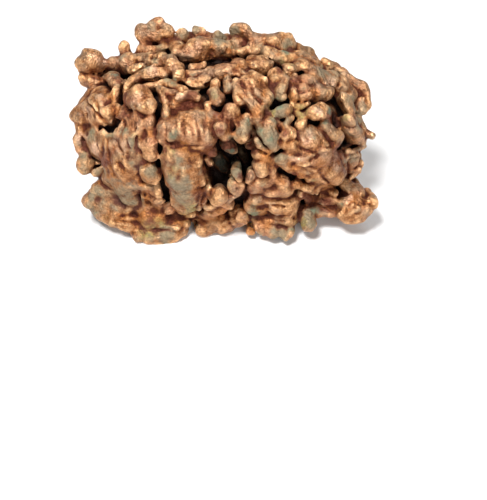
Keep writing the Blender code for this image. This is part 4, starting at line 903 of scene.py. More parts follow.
    def averaged(self, values: np.ndarray, reach: float, rounds: int = 3) -> np.ndarray:
        """A grid averaged over a box round each grid point, several times over.

        Args:
            values: One value for each grid point.
            reach: How far the averaging reaches in all, in millimetres.
            rounds: How often it is averaged.

        Returns:
            The averaged grid.
        """
        half = max(1, int(round(reach / self.spacing / rounds)))
        for _ in range(rounds):
            for axis in range(3):
                pad = [(0, 0)] * 3
                pad[axis] = (half + 1, half)
                total = np.cumsum(np.pad(values, pad, mode="edge"), axis=axis, dtype=np.float64)
                upper = np.take(total, range(2 * half + 1, total.shape[axis]), axis=axis)
                lower = np.take(total, range(total.shape[axis] - 2 * half - 1), axis=axis)
                values = ((upper - lower) / (2 * half + 1)).astype(np.float32)
        return values

    def metal_share(self, reach: float) -> np.ndarray:
        """The share of metal round each grid point: 0 in the open, 1 deep inside, 0.5 on a flat face."""
        return self.averaged(np.clip(0.5 - self.distance / self.spacing, 0, 1).astype(np.float32), reach)

    def sharpen(self, reach: float, gain: float) -> None:
        """Deepens folds and fills out lumps: adds the difference between the distance and its average.

        Args:
            reach: How far the averaging reaches, in millimetres.
            gain: How much of the difference is added.
        """
        near = np.clip(self.distance, -2 * reach, 2 * reach)
        self.distance += gain * (near - self.averaged(near, reach, rounds=2))

    def skin(self) -> tuple[np.ndarray, np.ndarray]:
        """The metal's outer skin, where the distance is 0.

        Returns:
            Its corners, and its four-cornered faces, which face out.
        """
        grid = openvdb.FloatGrid(self.far)
        grid.copyFromArray(self.distance)
        grid.transform = openvdb.createLinearTransform(self.spacing)
        points, _, faces = grid.convertToPolygons(isovalue=0.0, adaptivity=0.0)
        return largest_shell(np.asarray(points) + self.origin, np.asarray(faces)[:, ::-1].astype(np.int64))


def largest_shell(points: np.ndarray, faces: np.ndarray) -> tuple[np.ndarray, np.ndarray]:
    """Keeps only the largest closed shell.

    Every corner starts with its own number. In each round it takes the lowest number among its faces'
    corners, and then that corner's number, until nothing changes. Corners of one shell then share one.

    Args:
        points: The corners.
        faces: Four corner numbers a row.

    Returns:
        The corners and faces of the shell with the most corners.
    """
    label = np.arange(len(points))
    while True:
        lowest = label.copy()
        np.minimum.at(lowest, faces.ravel(), np.repeat(label[faces].min(axis=1), faces.shape[1]))
        lowest = lowest[lowest]
        if np.array_equal(lowest, label):
            break
        label = lowest
    kept = label == np.bincount(label).argmax()
    number = np.cumsum(kept) - 1
    return points[kept], number[faces[kept[faces[:, 0]]]]


@dataclass
class NuggetForm:
    """The nugget's mass: its filler, masses, limbs, hollows, lumps, creases and ribs."""

    face: ShowFace = field(default_factory=ShowFace)
    egg: Egg = field(default_factory=Egg)
    spacing: float = SPACING
    knob_seed: int = 5
    knobbly: float = 0.22
    knobbly_most: float = 3.2
    mass_blend: float = 3.0
    limb_blend: float = 2.2
    blend_share: float = 0.8
    root_step: float = 0.8
    root_taper: float = 0.12
    root_thinnest: float = 0.6
    hollow_lip: float = 1.6
    lump_roots: int = 12
    lump_wall: float = 25.0
    gap_width: float = 1.1
    gap_margin: float = 0.15
    gap_steps: tuple = (1.2, 0.0, -1.0)
    gap_narrowing: float = 0.15
    sharpen_reach: float = 3.2
    sharpen_gain: float = 0.9
    swellings: tuple = ((7.0, 0.9), (4.6, -0.8), (3.2, 0.45), (2.2, -0.2))
    crease_width: float = 0.1
    crease_step: float = 1.2
    crease_lip: float = 1.0
    hidden_count: int = 330
    hidden_seed: int = 11
    hidden_length: tuple = (2.0, 15.0)
    hidden_bend: float = 1.2
    hidden_stand_out: tuple = (-1.0, 3.0)
    hidden_radius: tuple = (2.6, 6.0)
    hidden_start: tuple = (0.7, 1.0)
    hidden_tip: tuple = (0.5, 0.9)
    hidden_lowest: float = -1.5
    show_edge: float = 0.12
    foot_height: float = 6.0
    foot_flare: float = 2.0
    feet: tuple = (
        (0.0, 0.0, 11.0, 13.5),
        (-38.0, -33.0, 5.0, 6.5),
        (22.0, -32.0, 4.6, 6.0),
        (52.0, -12.0, 5.0, 6.5),
        (-54.0, -8.0, 5.0, 6.5),
        (38.0, 22.0, 5.0, 6.5),
        (-36.0, 24.0, 5.0, 6.5),
        (2.0, 30.0, 4.6, 6.0),
    )

    def path(self, limb: Limb, inward: bool = False) -> tuple[np.ndarray, np.ndarray, np.ndarray]:
        """A limb's path, from its row in a table.

        Args:
            limb: The row.
            inward: Whether its first number is a depth under the egg. Such a path isn't knobbly.

        Returns:
            The path's points, its radii and the direction to the viewpoint.
        """
        stand_out = -limb[0] if inward else limb[0]
        placed = [self.egg.place(self.face, across, up, stand_out) for across, up, _ in limb[1:]]
        radii = np.array([float(point[2]) for point in limb[1:]])
        points, radii = smooth_path(np.array([place for place, _ in placed]), radii)
        if len(radii) > 2 and not inward:
            uneven = self.knobbly * self.chance.uniform(-1.0, 1.0, len(radii))
            radii = radii + uneven * np.minimum(radii, self.knobbly_most)
        return points, radii, unit(np.mean([towards for _, towards in placed], axis=0))

    def lay(self, metal: MetalField, path: tuple, blend: float, most: int = 4, wall: float = 5.0) -> None:
        """Lays a limb on the metal: first its roots, which are the same limb, thinner and deeper each time.

        Args:
            metal: The field to lay it in.
            path: The limb's points, radii and outward direction.
            blend: The most width of the fillet where it meets the metal. A thin limb has a thinner one.
            most: The most roots under it.
            wall: How far under the egg the metal that it roots in lies.
        """
        points, radii, outward = path
        blend = min(blend, self.blend_share * radii.mean())
        down = -unit(outward + self.egg.outward(points).mean(axis=0))
        for step in range(1, most + 1):
            root = points + down * step * self.root_step * radii.mean()
            root[:, 2] = np.maximum(root[:, 2], radii)
            if self.egg.measure(root, wall).min() < 1.0 and step > 1:
                break
            metal.melt_in(root, radii * max(self.root_thinnest, 1 - self.root_taper * step), blend)
        metal.melt_in(points, radii, blend)

    def hidden_limbs(self) -> list[tuple[np.ndarray, np.ndarray, np.ndarray]]:
        """Limbs for the back, the sides and the underside.

        The formula: directions that go round by the golden angle while they go down from the top evenly, so
        they are spread alike all over. Each limb lies on the egg there, turned and bent at random, and none
        goes on the show face.

        Returns:
            The points, radii and outward direction of each limb.
        """
        chance = np.random.default_rng(self.hidden_seed)
        turn = np.arange(self.hidden_count) * np.pi * (3.0 - np.sqrt(5.0))
        height = 1 - 2 * (np.arange(self.hidden_count) + 0.5) / self.hidden_count
        reach = np.sqrt(1 - height**2)
        limbs = []
        for direction in np.column_stack([reach * np.cos(turn), reach * np.sin(turn), height]):
            middle = self.egg.middle + direction / self.egg.measure(self.egg.middle + direction)
            outward = self.egg.outward(middle)
            along = unit(np.cross(outward, chance.normal(size=3))) * chance.uniform(*self.hidden_length) / 2
            bend = chance.normal(size=3) * self.hidden_bend
            stand_out = chance.uniform(*self.hidden_stand_out)
            radius = chance.uniform(*self.hidden_radius)
            start, tip = chance.uniform(*self.hidden_start), chance.uniform(*self.hidden_tip)
            radii = radius * np.array([start, 1.0, tip])
            if outward @ self.face.sight > self.show_edge:
                continue
            points = np.array([middle - along, middle + bend, middle + along])
            points = self.egg.middle + (points - self.egg.middle) / self.egg.measure(points)[:, None]
            points = points + outward * stand_out
            points[:, 2] += max(0.0, self.hidden_lowest - (points[:, 2] - radii).min())
            limbs.append((*smooth_path(points, radii), outward))
        return limbs

    def melt(self) -> MetalField:
        """Melts the whole mass together in the order in which each form lies over the one before.

        Returns:
            The finished field.
        """
        self.chance = np.random.default_rng(self.knob_seed)
        metal = MetalField(spacing=self.spacing)
        metal.fill_egg(self.egg)
        for hollow in LARGE_HOLLOW:
            metal.cut_out(*self.path(hollow, inward=True)[:2], blend=self.hollow_lip)
        for limb in self.hidden_limbs():
            self.lay(metal, limb, self.limb_blend)
        for table, blend in ((MASSES, self.mass_blend), (LIMBS, self.limb_blend)):
            for region in table.values():
                for limb in region:
                    self.lay(metal, self.path(limb), blend)
        for lump in HOLLOW_LUMPS:
            self.lay(metal, self.path(lump), self.limb_blend, self.lump_roots, self.lump_wall)
        self.add_feet(metal)
        self.cut_gaps(metal)
        metal.sharpen(self.sharpen_reach, self.sharpen_gain)
        metal.swell(self.swellings)
        self.draw_ribs(metal)
        self.draw_creases(metal)
        metal.wear_base()
        return metal

    def add_feet(self, metal: MetalField) -> None:
        """Adds the low lumps that the nugget stands on, each one wider at its top.

        Args:
            metal: The field to add them to.
        """
        for x, y, z, radius in self.feet:
            foot = np.array([[x, y, z], [x, y, z + self.foot_height]])
            metal.melt_in(foot, np.array([radius, radius + self.foot_flare]), self.mass_blend)

    def cut_gaps(self, metal: MetalField) -> None:
        """Cuts the gaps between limbs, each one at three depths, so that no limb in front closes it.

        Args:
            metal: The field to cut.
        """
        for gap in GAPS:
            points, radii, towards = self.path(gap, inward=True)
            radii = radii * self.gap_width + self.gap_margin
            for step in self.gap_steps:
                narrowed = radii * (1.0 - self.gap_narrowing * abs(step))
                metal.cut_out(points + towards * step * radii.max(), narrowed)

    def draw_ribs(self, metal: MetalField) -> None:
        """Draws the ribbed ground where the show face has it.

        Args:
            metal: The field to draw on.
        """
        for across, up, reach, turn, width, height in RIBS:
            place = metal.first_metal(self.face.sight_line(across, up)[0])
            if place is not None:
                angle = math.radians(turn + 90)
                over = math.cos(angle) * self.face.across + math.sin(angle) * self.face.up
                metal.rib(place, over, reach, width, height)

    def draw_creases(self, metal: MetalField) -> None:
        """Draws fine creases on the metal along lines of the show face.

        Args:
            metal: The field to draw on.
        """
        for radius, *places in CREASES:
            found = [metal.first_metal(self.face.sight_line(*place)[0]) for place in places]
            found = [place for place in found if place is not None]
            if len(found) > 1:
                radii = np.full(len(found), radius + self.crease_width)
                metal.cut_out(*smooth_path(np.array(found), radii, self.crease_step), blend=self.crease_lip)


@dataclass(frozen=True)
class CopperTones:
    """The colours laid on the metal, from clean ridges to deep gaps, with painted highlight and shade among
    them.
    """

    # partly rubbed clean metal, partly a painted highlight on ridges
    bright: tuple = (0.94, 0.58, 0.31)
    tan: tuple = (0.66, 0.37, 0.175)
    # painted shade: the metal darkened in fine hollows
    painted_shade_brown: tuple = (0.31, 0.125, 0.045)
    blush: tuple = (0.47, 0.23, 0.135)
    film: tuple = (0.300, 0.215, 0.140)
    # dark oxide with painted shade, in folds and creases
    crevice_oxide_and_shade: tuple = (0.095, 0.024, 0.012)
    # painted shade: near black in deep gaps
    gap: tuple = (0.006, 0.004, 0.003)


@dataclass(frozen=True)
class PatinaTones:
    """The colour of each kind of weathering, and of the painted shade."""

    olive: tuple = (0.235, 0.190, 0.115)
    yellow_green: tuple = (0.330, 0.260, 0.070)
    verdigris: tuple = (0.120, 0.185, 0.120)
    maroon: tuple = (0.150, 0.034, 0.020)
    rust: tuple = (0.440, 0.160, 0.040)
    pale: tuple = (0.780, 0.500, 0.330)
    # painted shade: near black for the large hollow
    painted_shade: tuple = (0.010, 0.013, 0.010)

    def of(self, kind: Patina) -> tuple:
        """The colour of one kind."""
        return getattr(self, kind.value)


@dataclass(frozen=True)
class Sheen:
    """How the metal takes the light."""

    metallic: float = 0.85
    dulling: float = 0.45
    rough_mottle: tuple = (0.35, 0.7)
    rough_low: float = 0.31
    rough_high: float = 0.52
    rough_fold: float = 0.15
    rough_patch: float = 0.12
    relief: float = 0.0012
    relief_strength: float = 0.85
    specular: float = 0.5


@dataclass(frozen=True)
class Wear:
    """How the tones follow the form and the noise. Several follow the form to paint shade into hollows and,
    in part, a highlight onto ridges.

    A tone's row says what value it begins at, what value it is full at and, where given, its least and
    greatest share. A mottle or a grain says how far that noise shifts what the tone follows.
    """

    ridge_mottle: float = 0.24
    ridge_grain: float = 0.16
    fold_mottle: float = 0.35
    # below this the metal is painted with shade in fine hollows
    tan: tuple = (0.36, 0.54)
    blush: tuple = (0.45, 0.62, 0.0, 0.5)
    # partly a painted highlight on ridges
    bright: tuple = (0.49, 0.66)
    film: tuple = (0.48, 0.62, 0.0, 0.55)
    rusty_fold: tuple = (0.49, 0.58, 0.0, 0.40)
    # dark oxide with painted shade in folds
    fold_oxide_and_shade: tuple = (0.53, 0.65, 0.0, 0.94)
    # dark oxide with painted shade in fine creases
    crease_oxide_and_shade: tuple = (0.40, 0.27, 0.0, 0.85)
    # painted shade: near black in deep gaps
    painted_gap_shade: tuple = (0.60, 0.74, 0.0, 0.92)
    speck: tuple = (0.36, 0.64, 0.86, 1.10)
    verdigris_hollow: tuple = (0.38, 0.56, 0.35, 1.0)
    grainy_patch: tuple = (0.34, 0.60, 0.35, 0.95)
    patch_noise: float = 3.2
    patch_mask: tuple = (0.05, 1.15, 0.0, 0.85)
    patch_inside: tuple = (0.02, 0.2)


@dataclass(frozen=True)
class Marks:
    """The fine relief. Each scale is roughly how many marks lie along a metre."""

    dent_scale: float = 520.0
    dent_smoothness: float = 0.7
    dent_height: float = 0.25
    wrinkles: tuple = (420.0, 4.0, 1.2, 1.5)  # scale, detail, distortion, height
    folds: tuple = (210.0, 2.0, 0.8, 2.2)
    grain_scale: float = 1500.0
    grain_detail: float = 3.0
    grain_height: float = 0.22


class NodeBoard:
    """A node tree with short ways to add and join nodes."""

    def __init__(self, tree: bpy.types.NodeTree) -> None:
        """Starts on an empty tree.

        Args:
            tree: The tree to work on.
        """
        self.tree = tree
        tree.nodes.clear()

    def add(self, kind: str, inputs: dict | None = None, **settings: object) -> bpy.types.Node:
        """Adds a node.

        Args:
            kind: The node's type, such as ShaderNodeMath.
            inputs: Socket name or number to a value or to an output socket that feeds it.
            settings: The node's own settings.

        Returns:
            The node.
        """
        node = self.tree.nodes.new(kind)
        for name, value in settings.items():
            setattr(node, name, value)
        for name, value in (inputs or {}).items():
            if isinstance(value, bpy.types.NodeSocket):
                self.tree.links.new(value, node.inputs[name])
            else:
                node.inputs[name].default_value = value
        return node

    def calculate(self, operation: str, *values: object) -> bpy.types.NodeSocket:
        """One step of arithmetic on numbers or sockets."""
        return self.add("ShaderNodeMath", dict(enumerate(values)), operation=operation).outputs[0]

    def shifted(self, value: object, noise: object, gain: float) -> bpy.types.NodeSocket:
        """A value plus how far a noise is from its middle, times a gain."""
        return self.calculate("MULTIPLY_ADD", self.calculate("SUBTRACT", noise, 0.5), gain, value)

    def blend(self, share: object, under: object, over: object) -> bpy.types.NodeSocket:
        """One colour laid over another by a share.

        Args:
            share: How much of the upper colour shows.
            under: The lower colour.
            over: The upper colour.

        Returns:
            The colour that results.
        """
        node = self.add("ShaderNodeMix", data_type="RGBA", clamp_factor=True)
        for number, value in ((0, share), (6, under), (7, over)):
            if isinstance(value, bpy.types.NodeSocket):
                self.tree.links.new(value, node.inputs[number])
            else:
                node.inputs[number].default_value = value if number == 0 else (*value, 1.0)
        return node.outputs[2]

    def ease(self, value: object, low: float, high: float, start: float = 0.0, end: float = 1.0) -> object:
        """An S-shaped rise.

        Args:
            value: What the rise follows.
            low: Where it begins.
            high: Where it ends.
            start: What it begins at.
            end: What it ends at.

        Returns:
            The socket of the risen value.
        """
        inputs = {"Value": value, "From Min": low, "From Max": high, "To Min": start, "To Max": end}
        return self.add("ShaderNodeMapRange", inputs, interpolation_type="SMOOTHSTEP").outputs[0]

    def attribute(self, name: str) -> bpy.types.NodeSocket:
        """The value of one of the piece's own attributes."""
        return self.add("ShaderNodeAttribute", attribute_name=name).outputs["Fac"]


def new_group(name: str, inputs: dict[str, str], outputs: dict[str, str]) -> tuple:
    """Makes an empty node group.

    Args:
        name: The group's name.
        inputs: Input name to socket type.
        outputs: Output name to socket type.

    Returns:
        The tree, its board, its input node and its output node.
    """
    tree = bpy.data.node_groups.new(name, "ShaderNodeTree")
    for title, kind in inputs.items():
        tree.interface.new_socket(name=title, in_out="INPUT", socket_type=kind)
    for title, kind in outputs.items():
        tree.interface.new_socket(name=title, in_out="OUTPUT", socket_type=kind)
    board = NodeBoard(tree)
    return tree, board, board.add("NodeGroupInput"), board.add("NodeGroupOutput")


class WeatheredCopper:
    """The nugget's one material: weathered copper, light on its ridges partly by a painted highlight, with
    painted shade in its folds and gaps.
    """

    GRAINS = (("Broad", 55.0, 3.0), ("Cloud", 115.0, 5.0), ("Mottle", 240.0, 4.0), ("Grain", 800.0, 3.0))
    GRAIN_ROUGHNESS = 0.6
    LAID = (
        Patina.RUST,
        Patina.OLIVE,
        Patina.YELLOW_GREEN,
        Patina.PALE,
        Patina.MAROON,
        Patina.VERDIGRIS,
        # the painted shade of the large hollow, laid last over the weathering
        Patina.PAINTED_SHADE,
    )
    DULL = (Patina.OLIVE, Patina.YELLOW_GREEN, Patina.VERDIGRIS)
    MOTTLED = (Patina.VERDIGRIS, Patina.MAROON)
    GRAINY = (Patina.VERDIGRIS, Patina.YELLOW_GREEN)

    def __init__(
        self, tones: CopperTones, patinas: PatinaTones, sheen: Sheen, wear: Wear, marks: Marks
    ) -> None:
        """Keeps the finishes.

        Args:
            tones: The metal's own colours.
            patinas: The colours of the weathering.
            sheen: How the metal takes the light.
            wear: How the tones follow the form and the noise.
            marks: The fine relief.
        """
        self.tones, self.patinas, self.sheen, self.wear, self.marks = tones, patinas, sheen, wear, marks

    def grain_group(self) -> bpy.types.NodeTree:
        """A group with four sizes of noise: broad clouds, smaller clouds, middling mottle and fine grain.

        Returns:
            The group.
        """
        outputs = {name: "NodeSocketFloat" for name, _, _ in self.GRAINS}
        tree, board, start, end = new_group("copper_grain", {"Place": "NodeSocketVector"}, outputs)
        for name, scale, detail in self.GRAINS:
            inputs = {
                "Vector": start.outputs["Place"],
                "Scale": scale,
                "Detail": detail,
                "Roughness": self.GRAIN_ROUGHNESS,
            }
            noise = board.add("ShaderNodeTexNoise", inputs)
            tree.links.new(noise.outputs["Fac"], end.inputs[name])
        return tree

    def patch_group(self) -> bpy.types.NodeTree:
        """A group that gives a patch a broken edge: the patch's weight plus noise, eased to a mask.

        Returns:
            The group.
        """
        inputs = {"Weight": "NodeSocketFloat", "Noise": "NodeSocketFloat"}
        tree, board, start, end = new_group("broken_patch", inputs, {"Mask": "NodeSocketFloat"})
        weight, noise = start.outputs["Weight"], start.outputs["Noise"]
        shifted = board.calculate("MULTIPLY_ADD", noise, self.wear.patch_noise, -self.wear.patch_noise / 2)
        mask = board.ease(board.calculate("ADD", weight, shifted), *self.wear.patch_mask)
        inside = board.ease(weight, *self.wear.patch_inside)
        tree.links.new(board.calculate("MULTIPLY", mask, inside), end.inputs["Mask"])
        return tree

    def relief_group(self) -> bpy.types.NodeTree:
        """A group for the fine relief: dents, wrinkles, folds and grain, added up as one height.

        Returns:
            The group.
        """
        tree, board, start, end = new_group(
            "hammered_relief", {"Place": "NodeSocketVector"}, {"Height": "NodeSocketFloat"}
        )
        place, marks = start.outputs["Place"], self.marks
        inputs = {"Vector": place, "Scale": marks.dent_scale, "Smoothness": marks.dent_smoothness}
        dents = board.add("ShaderNodeTexVoronoi", inputs, feature="SMOOTH_F1").outputs["Distance"]
        height = board.calculate("MULTIPLY", dents, marks.dent_height)
        for scale, detail, distortion, weight in (marks.wrinkles, marks.folds):
            inputs = {"Vector": place, "Scale": scale, "Detail": detail, "Distortion": distortion}
            noise = board.add("ShaderNodeTexNoise", inputs).outputs["Fac"]
            creased = board.calculate("ABSOLUTE", board.calculate("SUBTRACT", noise, 0.5))
            height = board.calculate("MULTIPLY_ADD", creased, weight, height)
        inputs = {"Vector": place, "Scale": marks.grain_scale, "Detail": marks.grain_detail}
        grain = board.add("ShaderNodeTexNoise", inputs).outputs["Fac"]
        height = board.calculate("MULTIPLY_ADD", grain, marks.grain_height, height)
        tree.links.new(height, end.inputs["Height"])
        return tree

    def lay_patinas(self, board: NodeBoard, colour: object, fine_hollow: object, noises: dict) -> tuple:
        """Lays each kind of weathering, and last the painted shade of the large hollow, over the metal's
        colour, in order.

        Args:
            board: The material's board.
            colour: The metal's colour.
            fine_hollow: How deep in a fine hollow the skin lies.
            noises: The grain group's outputs by name.

        Returns:
            The weathered colour with its painted shade, and how dull the weathering makes the metal.
        """
        wear, patch, dull = self.wear, self.patch_group(), 0.0
        for kind in self.LAID:
            weight = board.attribute(kind.value)
            if kind is Patina.VERDIGRIS:
                weight = board.calculate("MULTIPLY", weight, board.ease(fine_hollow, *wear.verdigris_hollow))
            noise = noises["Mottle" if kind in self.MOTTLED else "Cloud"]
            inputs = {"Weight": weight, "Noise": noise}
            share = board.add("ShaderNodeGroup", inputs, node_tree=patch).outputs["Mask"]
            if kind in self.DULL:
                dull = board.calculate("MAXIMUM", dull, share)
            if kind in self.GRAINY:
                share = board.calculate("MULTIPLY", share, board.ease(noises["Grain"], *wear.grainy_patch))
            colour = board.blend(share, colour, self.patinas.of(kind))
        return colour, dull

    def build(self) -> bpy.types.Material:
        """Builds the material.

        Returns:
            The finished material.
        """
        material = bpy.data.materials.new("native_copper")
        material.use_nodes = True
        board = NodeBoard(material.node_tree)
        wear, tones, sheen = self.wear, self.tones, self.sheen
        place = board.add("ShaderNodeTexCoord").outputs["Object"]
        noises = board.add("ShaderNodeGroup", {"Place": place}, node_tree=self.grain_group()).outputs
        hollow = {kind: board.attribute(kind.value) for kind in Hollow}

        raised = board.calculate("SUBTRACT", 1.0, hollow[Hollow.FINE])
        raised = board.shifted(raised, noises["Mottle"], wear.ridge_mottle)
        raised = board.shifted(raised, noises["Grain"], wear.ridge_grain)
        # painted shade: the metal darkened in fine hollows
        colour = board.blend(board.ease(raised, *wear.tan), tones.painted_shade_brown, tones.tan)
        colour = board.blend(board.ease(noises["Broad"], *wear.blush), colour, tones.blush)
        # partly rubbed metal, partly a painted highlight on ridges
        colour = board.blend(board.ease(raised, *wear.bright), colour, tones.bright)
        colour = board.blend(board.ease(noises["Cloud"], *wear.film), colour, tones.film)
        colour, dull = self.lay_patinas(board, colour, hollow[Hollow.FINE], noises)
        folds = board.shifted(hollow[Hollow.MIDDLE], noises["Mottle"], wear.fold_mottle)
        colour = board.blend(board.ease(folds, *wear.rusty_fold), colour, self.patinas.rust)
        # dark oxide with painted shade in folds and fine creases
        colour = board.blend(board.ease(folds, *wear.fold_oxide_and_shade), colour, tones.crevice_oxide_and_shade)
        colour = board.blend(board.ease(raised, *wear.crease_oxide_and_shade), colour, tones.crevice_oxide_and_shade)
        # painted shade: near black in deep gaps
        colour = board.blend(board.ease(hollow[Hollow.DEEP], *wear.painted_gap_shade), colour, tones.gap)
        inputs = {0: colour, "Scale": board.ease(noises["Grain"], *wear.speck)}
        colour = board.add("ShaderNodeVectorMath", inputs, operation="SCALE").outputs[0]

        rough = board.ease(noises["Mottle"], *sheen.rough_mottle, sheen.rough_low, sheen.rough_high)
        rough = board.calculate("MULTIPLY_ADD", hollow[Hollow.FINE], sheen.rough_fold, rough)
        rough = board.calculate("MULTIPLY_ADD", dull, sheen.rough_patch, rough)
        metallic = board.calculate("MULTIPLY_ADD", dull, -sheen.dulling, sheen.metallic)
        relief = board.add("ShaderNodeGroup", {"Place": place}, node_tree=self.relief_group())
        height = relief.outputs["Height"]
        inputs = {"Strength": sheen.relief_strength, "Distance": sheen.relief, "Height": height}
        bump = board.add("ShaderNodeBump", inputs)
        inputs = {
            "Base Color": colour,
            "Metallic": metallic,
            "Roughness": rough,
            "Normal": bump.outputs["Normal"],
            "Specular IOR Level": sheen.specular,
        }
        shader = board.add("ShaderNodeBsdfPrincipled", inputs)
        board.add("ShaderNodeOutputMaterial", {"Surface": shader.outputs["BSDF"]})
        return material


@dataclass
class NuggetPiece:
    """The nugget as it is shown: one closed skin that stands for the CAD node."""

    form: NuggetForm
    finish: WeatheredCopper
    triangles: int = 190000
    hollow_reaches: tuple = (2.4, 6.0, 15.0)
    hollow_lift: float = 0.3
    show_blend: float = 0.15
    patch_spread: float = 1.5
    patch_middle: float = 0.25
    scatter_seed: int = 20
    scatter_pace: float = 0.16
    scatter_turn: float = 6.3
    scatter_rise: tuple = (1.1, 2.4)
    scatter_strength: float = 0.9
    # how far inside the egg the painted shade of the large hollow fades in
    painted_shade_rise: tuple = (-0.86, -0.70)
    shift: np.ndarray = field(default_factory=lambda: np.zeros(3))

    def mesh_of(self, points: np.ndarray, faces: np.ndarray) -> bpy.types.Mesh:
        """A mesh from corners and faces.

        Args:
            points: The corners, in millimetres.
            faces: Four corner numbers a row.

        Returns:
            The mesh, in metres.
        """
        mesh = bpy.data.meshes.new(NODE + "_skin")
        mesh.vertices.add(len(points))
        mesh.vertices.foreach_set("co", (points * MM).astype(np.float32).ravel())
        mesh.loops.add(faces.size)
        mesh.loops.foreach_set("vertex_index", faces.ravel().astype(np.int32))
        mesh.polygons.add(len(faces))
        mesh.polygons.foreach_set("loop_start", np.arange(0, faces.size, 4, dtype=np.int32))
        mesh.update(calc_edges=True)
        return mesh

    def thinned(self, piece: bpy.types.Object) -> None:
        """Thins the faces to the limit, and gives the piece the thinner mesh.

        Args:
            piece: The piece.
        """
        many = 2 * len(piece.data.polygons)
        if many > self.triangles:
            thin = piece.modifiers.new("Thin", "DECIMATE")
            thin.ratio = self.triangles / many
            graph = bpy.context.evaluated_depsgraph_get()
            mesh = bpy.data.meshes.new_from_object(piece.evaluated_get(graph))
            piece.modifiers.clear()
            piece.data = mesh

    def patch_weights(
        self, shown: np.ndarray, facing: np.ndarray, points: np.ndarray, kind: Patina
    ) -> np.ndarray:
        """How strongly one kind of weathering, and likewise the painted shade, lies on each corner.

        On the show face it is the strongest of the listed patches, each one its strength times a
        smooth fall from the middle to the reach. Elsewhere it is a sum of three crossing waves, eased.
        The painted shade lies only inside the egg, so it darkens the large hollow and not its rim.

        Args:
            shown: Where the corners show on the display plane.
            facing: How much each corner belongs to the show face.
            points: The corners.
            kind: The kind of weathering, which may be the painted shade.

        Returns:
            A weight for each corner.
        """
        placed = np.zeros(len(points))
        for across, up, reach, strength in PATCHES[kind]:
            away = np.hypot(shown[:, 0] - across, shown[:, 1] - up) / (reach * self.patch_spread)
            placed = np.maximum(placed, strength * (1.0 - smoothstep(away, self.patch_middle, 1.0)))
        # painted shade: near black only inside the egg, in the large hollow where shade falls
        if kind is Patina.PAINTED_SHADE:
            return facing * placed * smoothstep(-self.form.egg.measure(points), *self.painted_shade_rise)
        chance = np.random.default_rng(self.scatter_seed + list(Patina).index(kind))
        waves = sum(
            np.sin(points @ chance.normal(0, self.scatter_pace, 3) + chance.uniform(0, self.scatter_turn))
            for _ in range(3)
        )
        scattered = smoothstep(waves, *self.scatter_rise)
        return facing * placed + (1.0 - facing) * scattered * self.scatter_strength

    def dress(self, piece: bpy.types.Object, metal: MetalField) -> None:
        """Stores, as attributes of the mesh, how deep each corner lies, what weathering it has and the
        painted shade.

        Args:
            piece: The piece.
            metal: The field that its mesh was taken from.
        """
        mesh = piece.data
        points, normals = np.empty(len(mesh.vertices) * 3), np.empty(len(mesh.vertices) * 3)
        mesh.vertices.foreach_get("co", points)
        mesh.vertices.foreach_get("normal", normals)
        points, normals = points.reshape(-1, 3) / MM, normals.reshape(-1, 3)
        for kind, reach in zip(Hollow, self.hollow_reaches):
            share = metal.sample(metal.metal_share(reach), points + normals * self.hollow_lift)
            self.store(mesh, kind.value, share)
        face = self.form.face
        shown = face.shown_at(points)
        outward = self.form.egg.outward(points)
        facing = smoothstep(outward @ face.sight, -self.show_blend, self.show_blend)
        for kind in Patina:
            self.store(mesh, kind.value, self.patch_weights(shown, facing, points, kind))

    def store(self, mesh: bpy.types.Mesh, name: str, values: np.ndarray) -> None:
        """Stores one number for each corner as an attribute."""
        mesh.attributes.new(name, "FLOAT", "POINT").data.foreach_set("value", values.astype(np.float32))

    def fit(self, piece: bpy.types.Object, box: tuple) -> None:
        """Slides the mesh into a box and stretches it to the box's size.

        The formula: each corner times the ratio of the box's size to the mesh's, along each axis, plus the
        slide that brings the two middles together.

        Args:
            piece: The piece.
            box: The box's lowest and highest corners in metres.
        """
        mesh = piece.data
        points = np.empty(len(mesh.vertices) * 3)
        mesh.vertices.foreach_get("co", points)
        points = points.reshape(-1, 3)
        low, high = points.min(axis=0), points.max(axis=0)
        target_low, target_high = np.array(box[0]), np.array(box[1])
        scale = (target_high - target_low) / (high - low)
        self.shift = (target_low + target_high) / 2 - (low + high) / 2 * scale
        mesh.vertices.foreach_set("co", (points * scale + self.shift).astype(np.float32).ravel())
        mesh.update()
        log.info("fitted to the box: scale %s, slide %s mm", scale.round(4), (self.shift / MM).round(2))

    def build(self, box: tuple) -> bpy.types.Object:
        """Makes the piece and gives it its place, its body and its finish.

        Args:
            box: The CAD model's box.

        Returns:
            The finished piece.
        """
        metal = self.form.melt()
        piece = bpy.data.objects.new(NODE + "_skin", self.mesh_of(*metal.skin()))
        bpy.context.scene.collection.objects.link(piece)
        self.thinned(piece)
        self.dress(piece, metal)
        self.fit(piece, box)
        piece.data.shade_smooth()
        piece.data.materials.clear()
        piece.data.materials.append(self.finish.build())
        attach(piece, "root")
        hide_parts(NODE)
        log.info("%s: %d faces", piece.name, len(piece.data.polygons))
        return piece


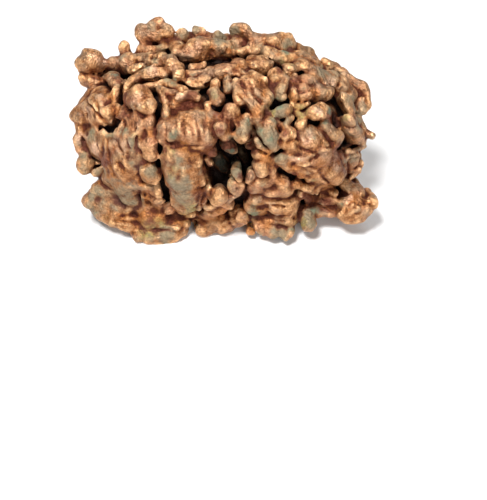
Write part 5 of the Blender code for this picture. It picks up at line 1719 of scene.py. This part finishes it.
@dataclass
class Studio:
    """A pale floor, soft lights and the camera."""

    face: ShowFace
    focal_pixels: float = 830.0
    picture_long_side: float = 500.0
    pitch_down: float = 46.3
    sensor: float = 36.0
    clip: tuple = (0.01, 10.0)
    floor_half: float = 1.6
    floor_tone: tuple = (0.78, 0.78, 0.78, 1.0)
    floor_rough: float = 0.8
    sky: float = 0.10
    sky_tone: tuple = (1.0, 0.99, 0.98, 1.0)
    lamp_aim: tuple = (0.0, 0.0, 0.04)
    lamps: tuple = (
        ("key", (-0.18, -0.28, 0.80), 0.22, 11.0),
        ("front", (0.30, -0.80, 0.45), 0.40, 4.4),
        ("back", (0.15, 0.50, 0.70), 0.40, 3.0),
    )

    def floor(self) -> None:
        """A flat pale floor at height 0."""
        reach = self.floor_half
        mesh = bpy.data.meshes.new("floor")
        corners = [(-reach, -reach, 0), (reach, -reach, 0), (reach, reach, 0), (-reach, reach, 0)]
        mesh.from_pydata(corners, [], [(0, 1, 2, 3)])
        plane = bpy.data.objects.new("floor", mesh)
        bpy.context.scene.collection.objects.link(plane)
        paint = bpy.data.materials.new("floor_paint")
        paint.use_nodes = True
        shader = paint.node_tree.nodes["Principled BSDF"]
        shader.inputs["Base Color"].default_value = self.floor_tone
        shader.inputs["Roughness"].default_value = self.floor_rough
        mesh.materials.append(paint)
        plane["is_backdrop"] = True

    def light(self) -> None:
        """Soft area lamps and an even pale sky."""
        world = bpy.data.worlds.new("sky")
        world.use_nodes = True
        background = world.node_tree.nodes["Background"]
        background.inputs["Strength"].default_value = self.sky
        background.inputs["Color"].default_value = self.sky_tone
        bpy.context.scene.world = world
        for name, place, size, power in self.lamps:
            lamp = bpy.data.lights.new(name, "AREA")
            lamp.energy, lamp.size = power, size
            holder = bpy.data.objects.new(name, lamp)
            holder.location = place
            aim = Vector(self.lamp_aim) - holder.location
            holder.rotation_euler = aim.to_track_quat("-Z", "Y").to_euler()
            bpy.context.scene.collection.objects.link(holder)

    def camera(self, shift: np.ndarray) -> None:
        """The camera at the viewpoint, moved by the same slide as the nugget.

        Args:
            shift: The slide in metres.
        """
        lens = bpy.data.cameras.new("camera")
        lens.sensor_width = self.sensor
        lens.lens = self.focal_pixels * lens.sensor_width / self.picture_long_side
        lens.clip_start, lens.clip_end = self.clip
        holder = bpy.data.objects.new("camera", lens)
        holder.location = Vector(self.face.eye * MM) + Vector((shift[0], shift[1], 0.0))
        holder.rotation_euler = (math.radians(90.0 - self.pitch_down), 0.0, 0.0)
        bpy.context.scene.collection.objects.link(holder)
        bpy.context.scene.camera = holder

    def build(self, shift: np.ndarray) -> None:
        """Sets the whole studio up.

        Args:
            shift: How far the nugget slid into its box, in metres.
        """
        self.floor()
        self.light()
        self.camera(shift)
        bpy.context.scene.view_settings.view_transform = "Standard"


def main() -> None:
    """Builds the nugget and its studio."""
    logging.basicConfig(level=logging.INFO, format="%(name)s: %(message)s")
    cad_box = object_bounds()
    form = NuggetForm(spacing=SPACING)
    finish = WeatheredCopper(CopperTones(), PatinaTones(), Sheen(), Wear(), Marks())
    nugget = NuggetPiece(form, finish)
    nugget.build(cad_box)
    Studio(form.face).build(nugget.shift)


if __name__ == "__main__":
    main()
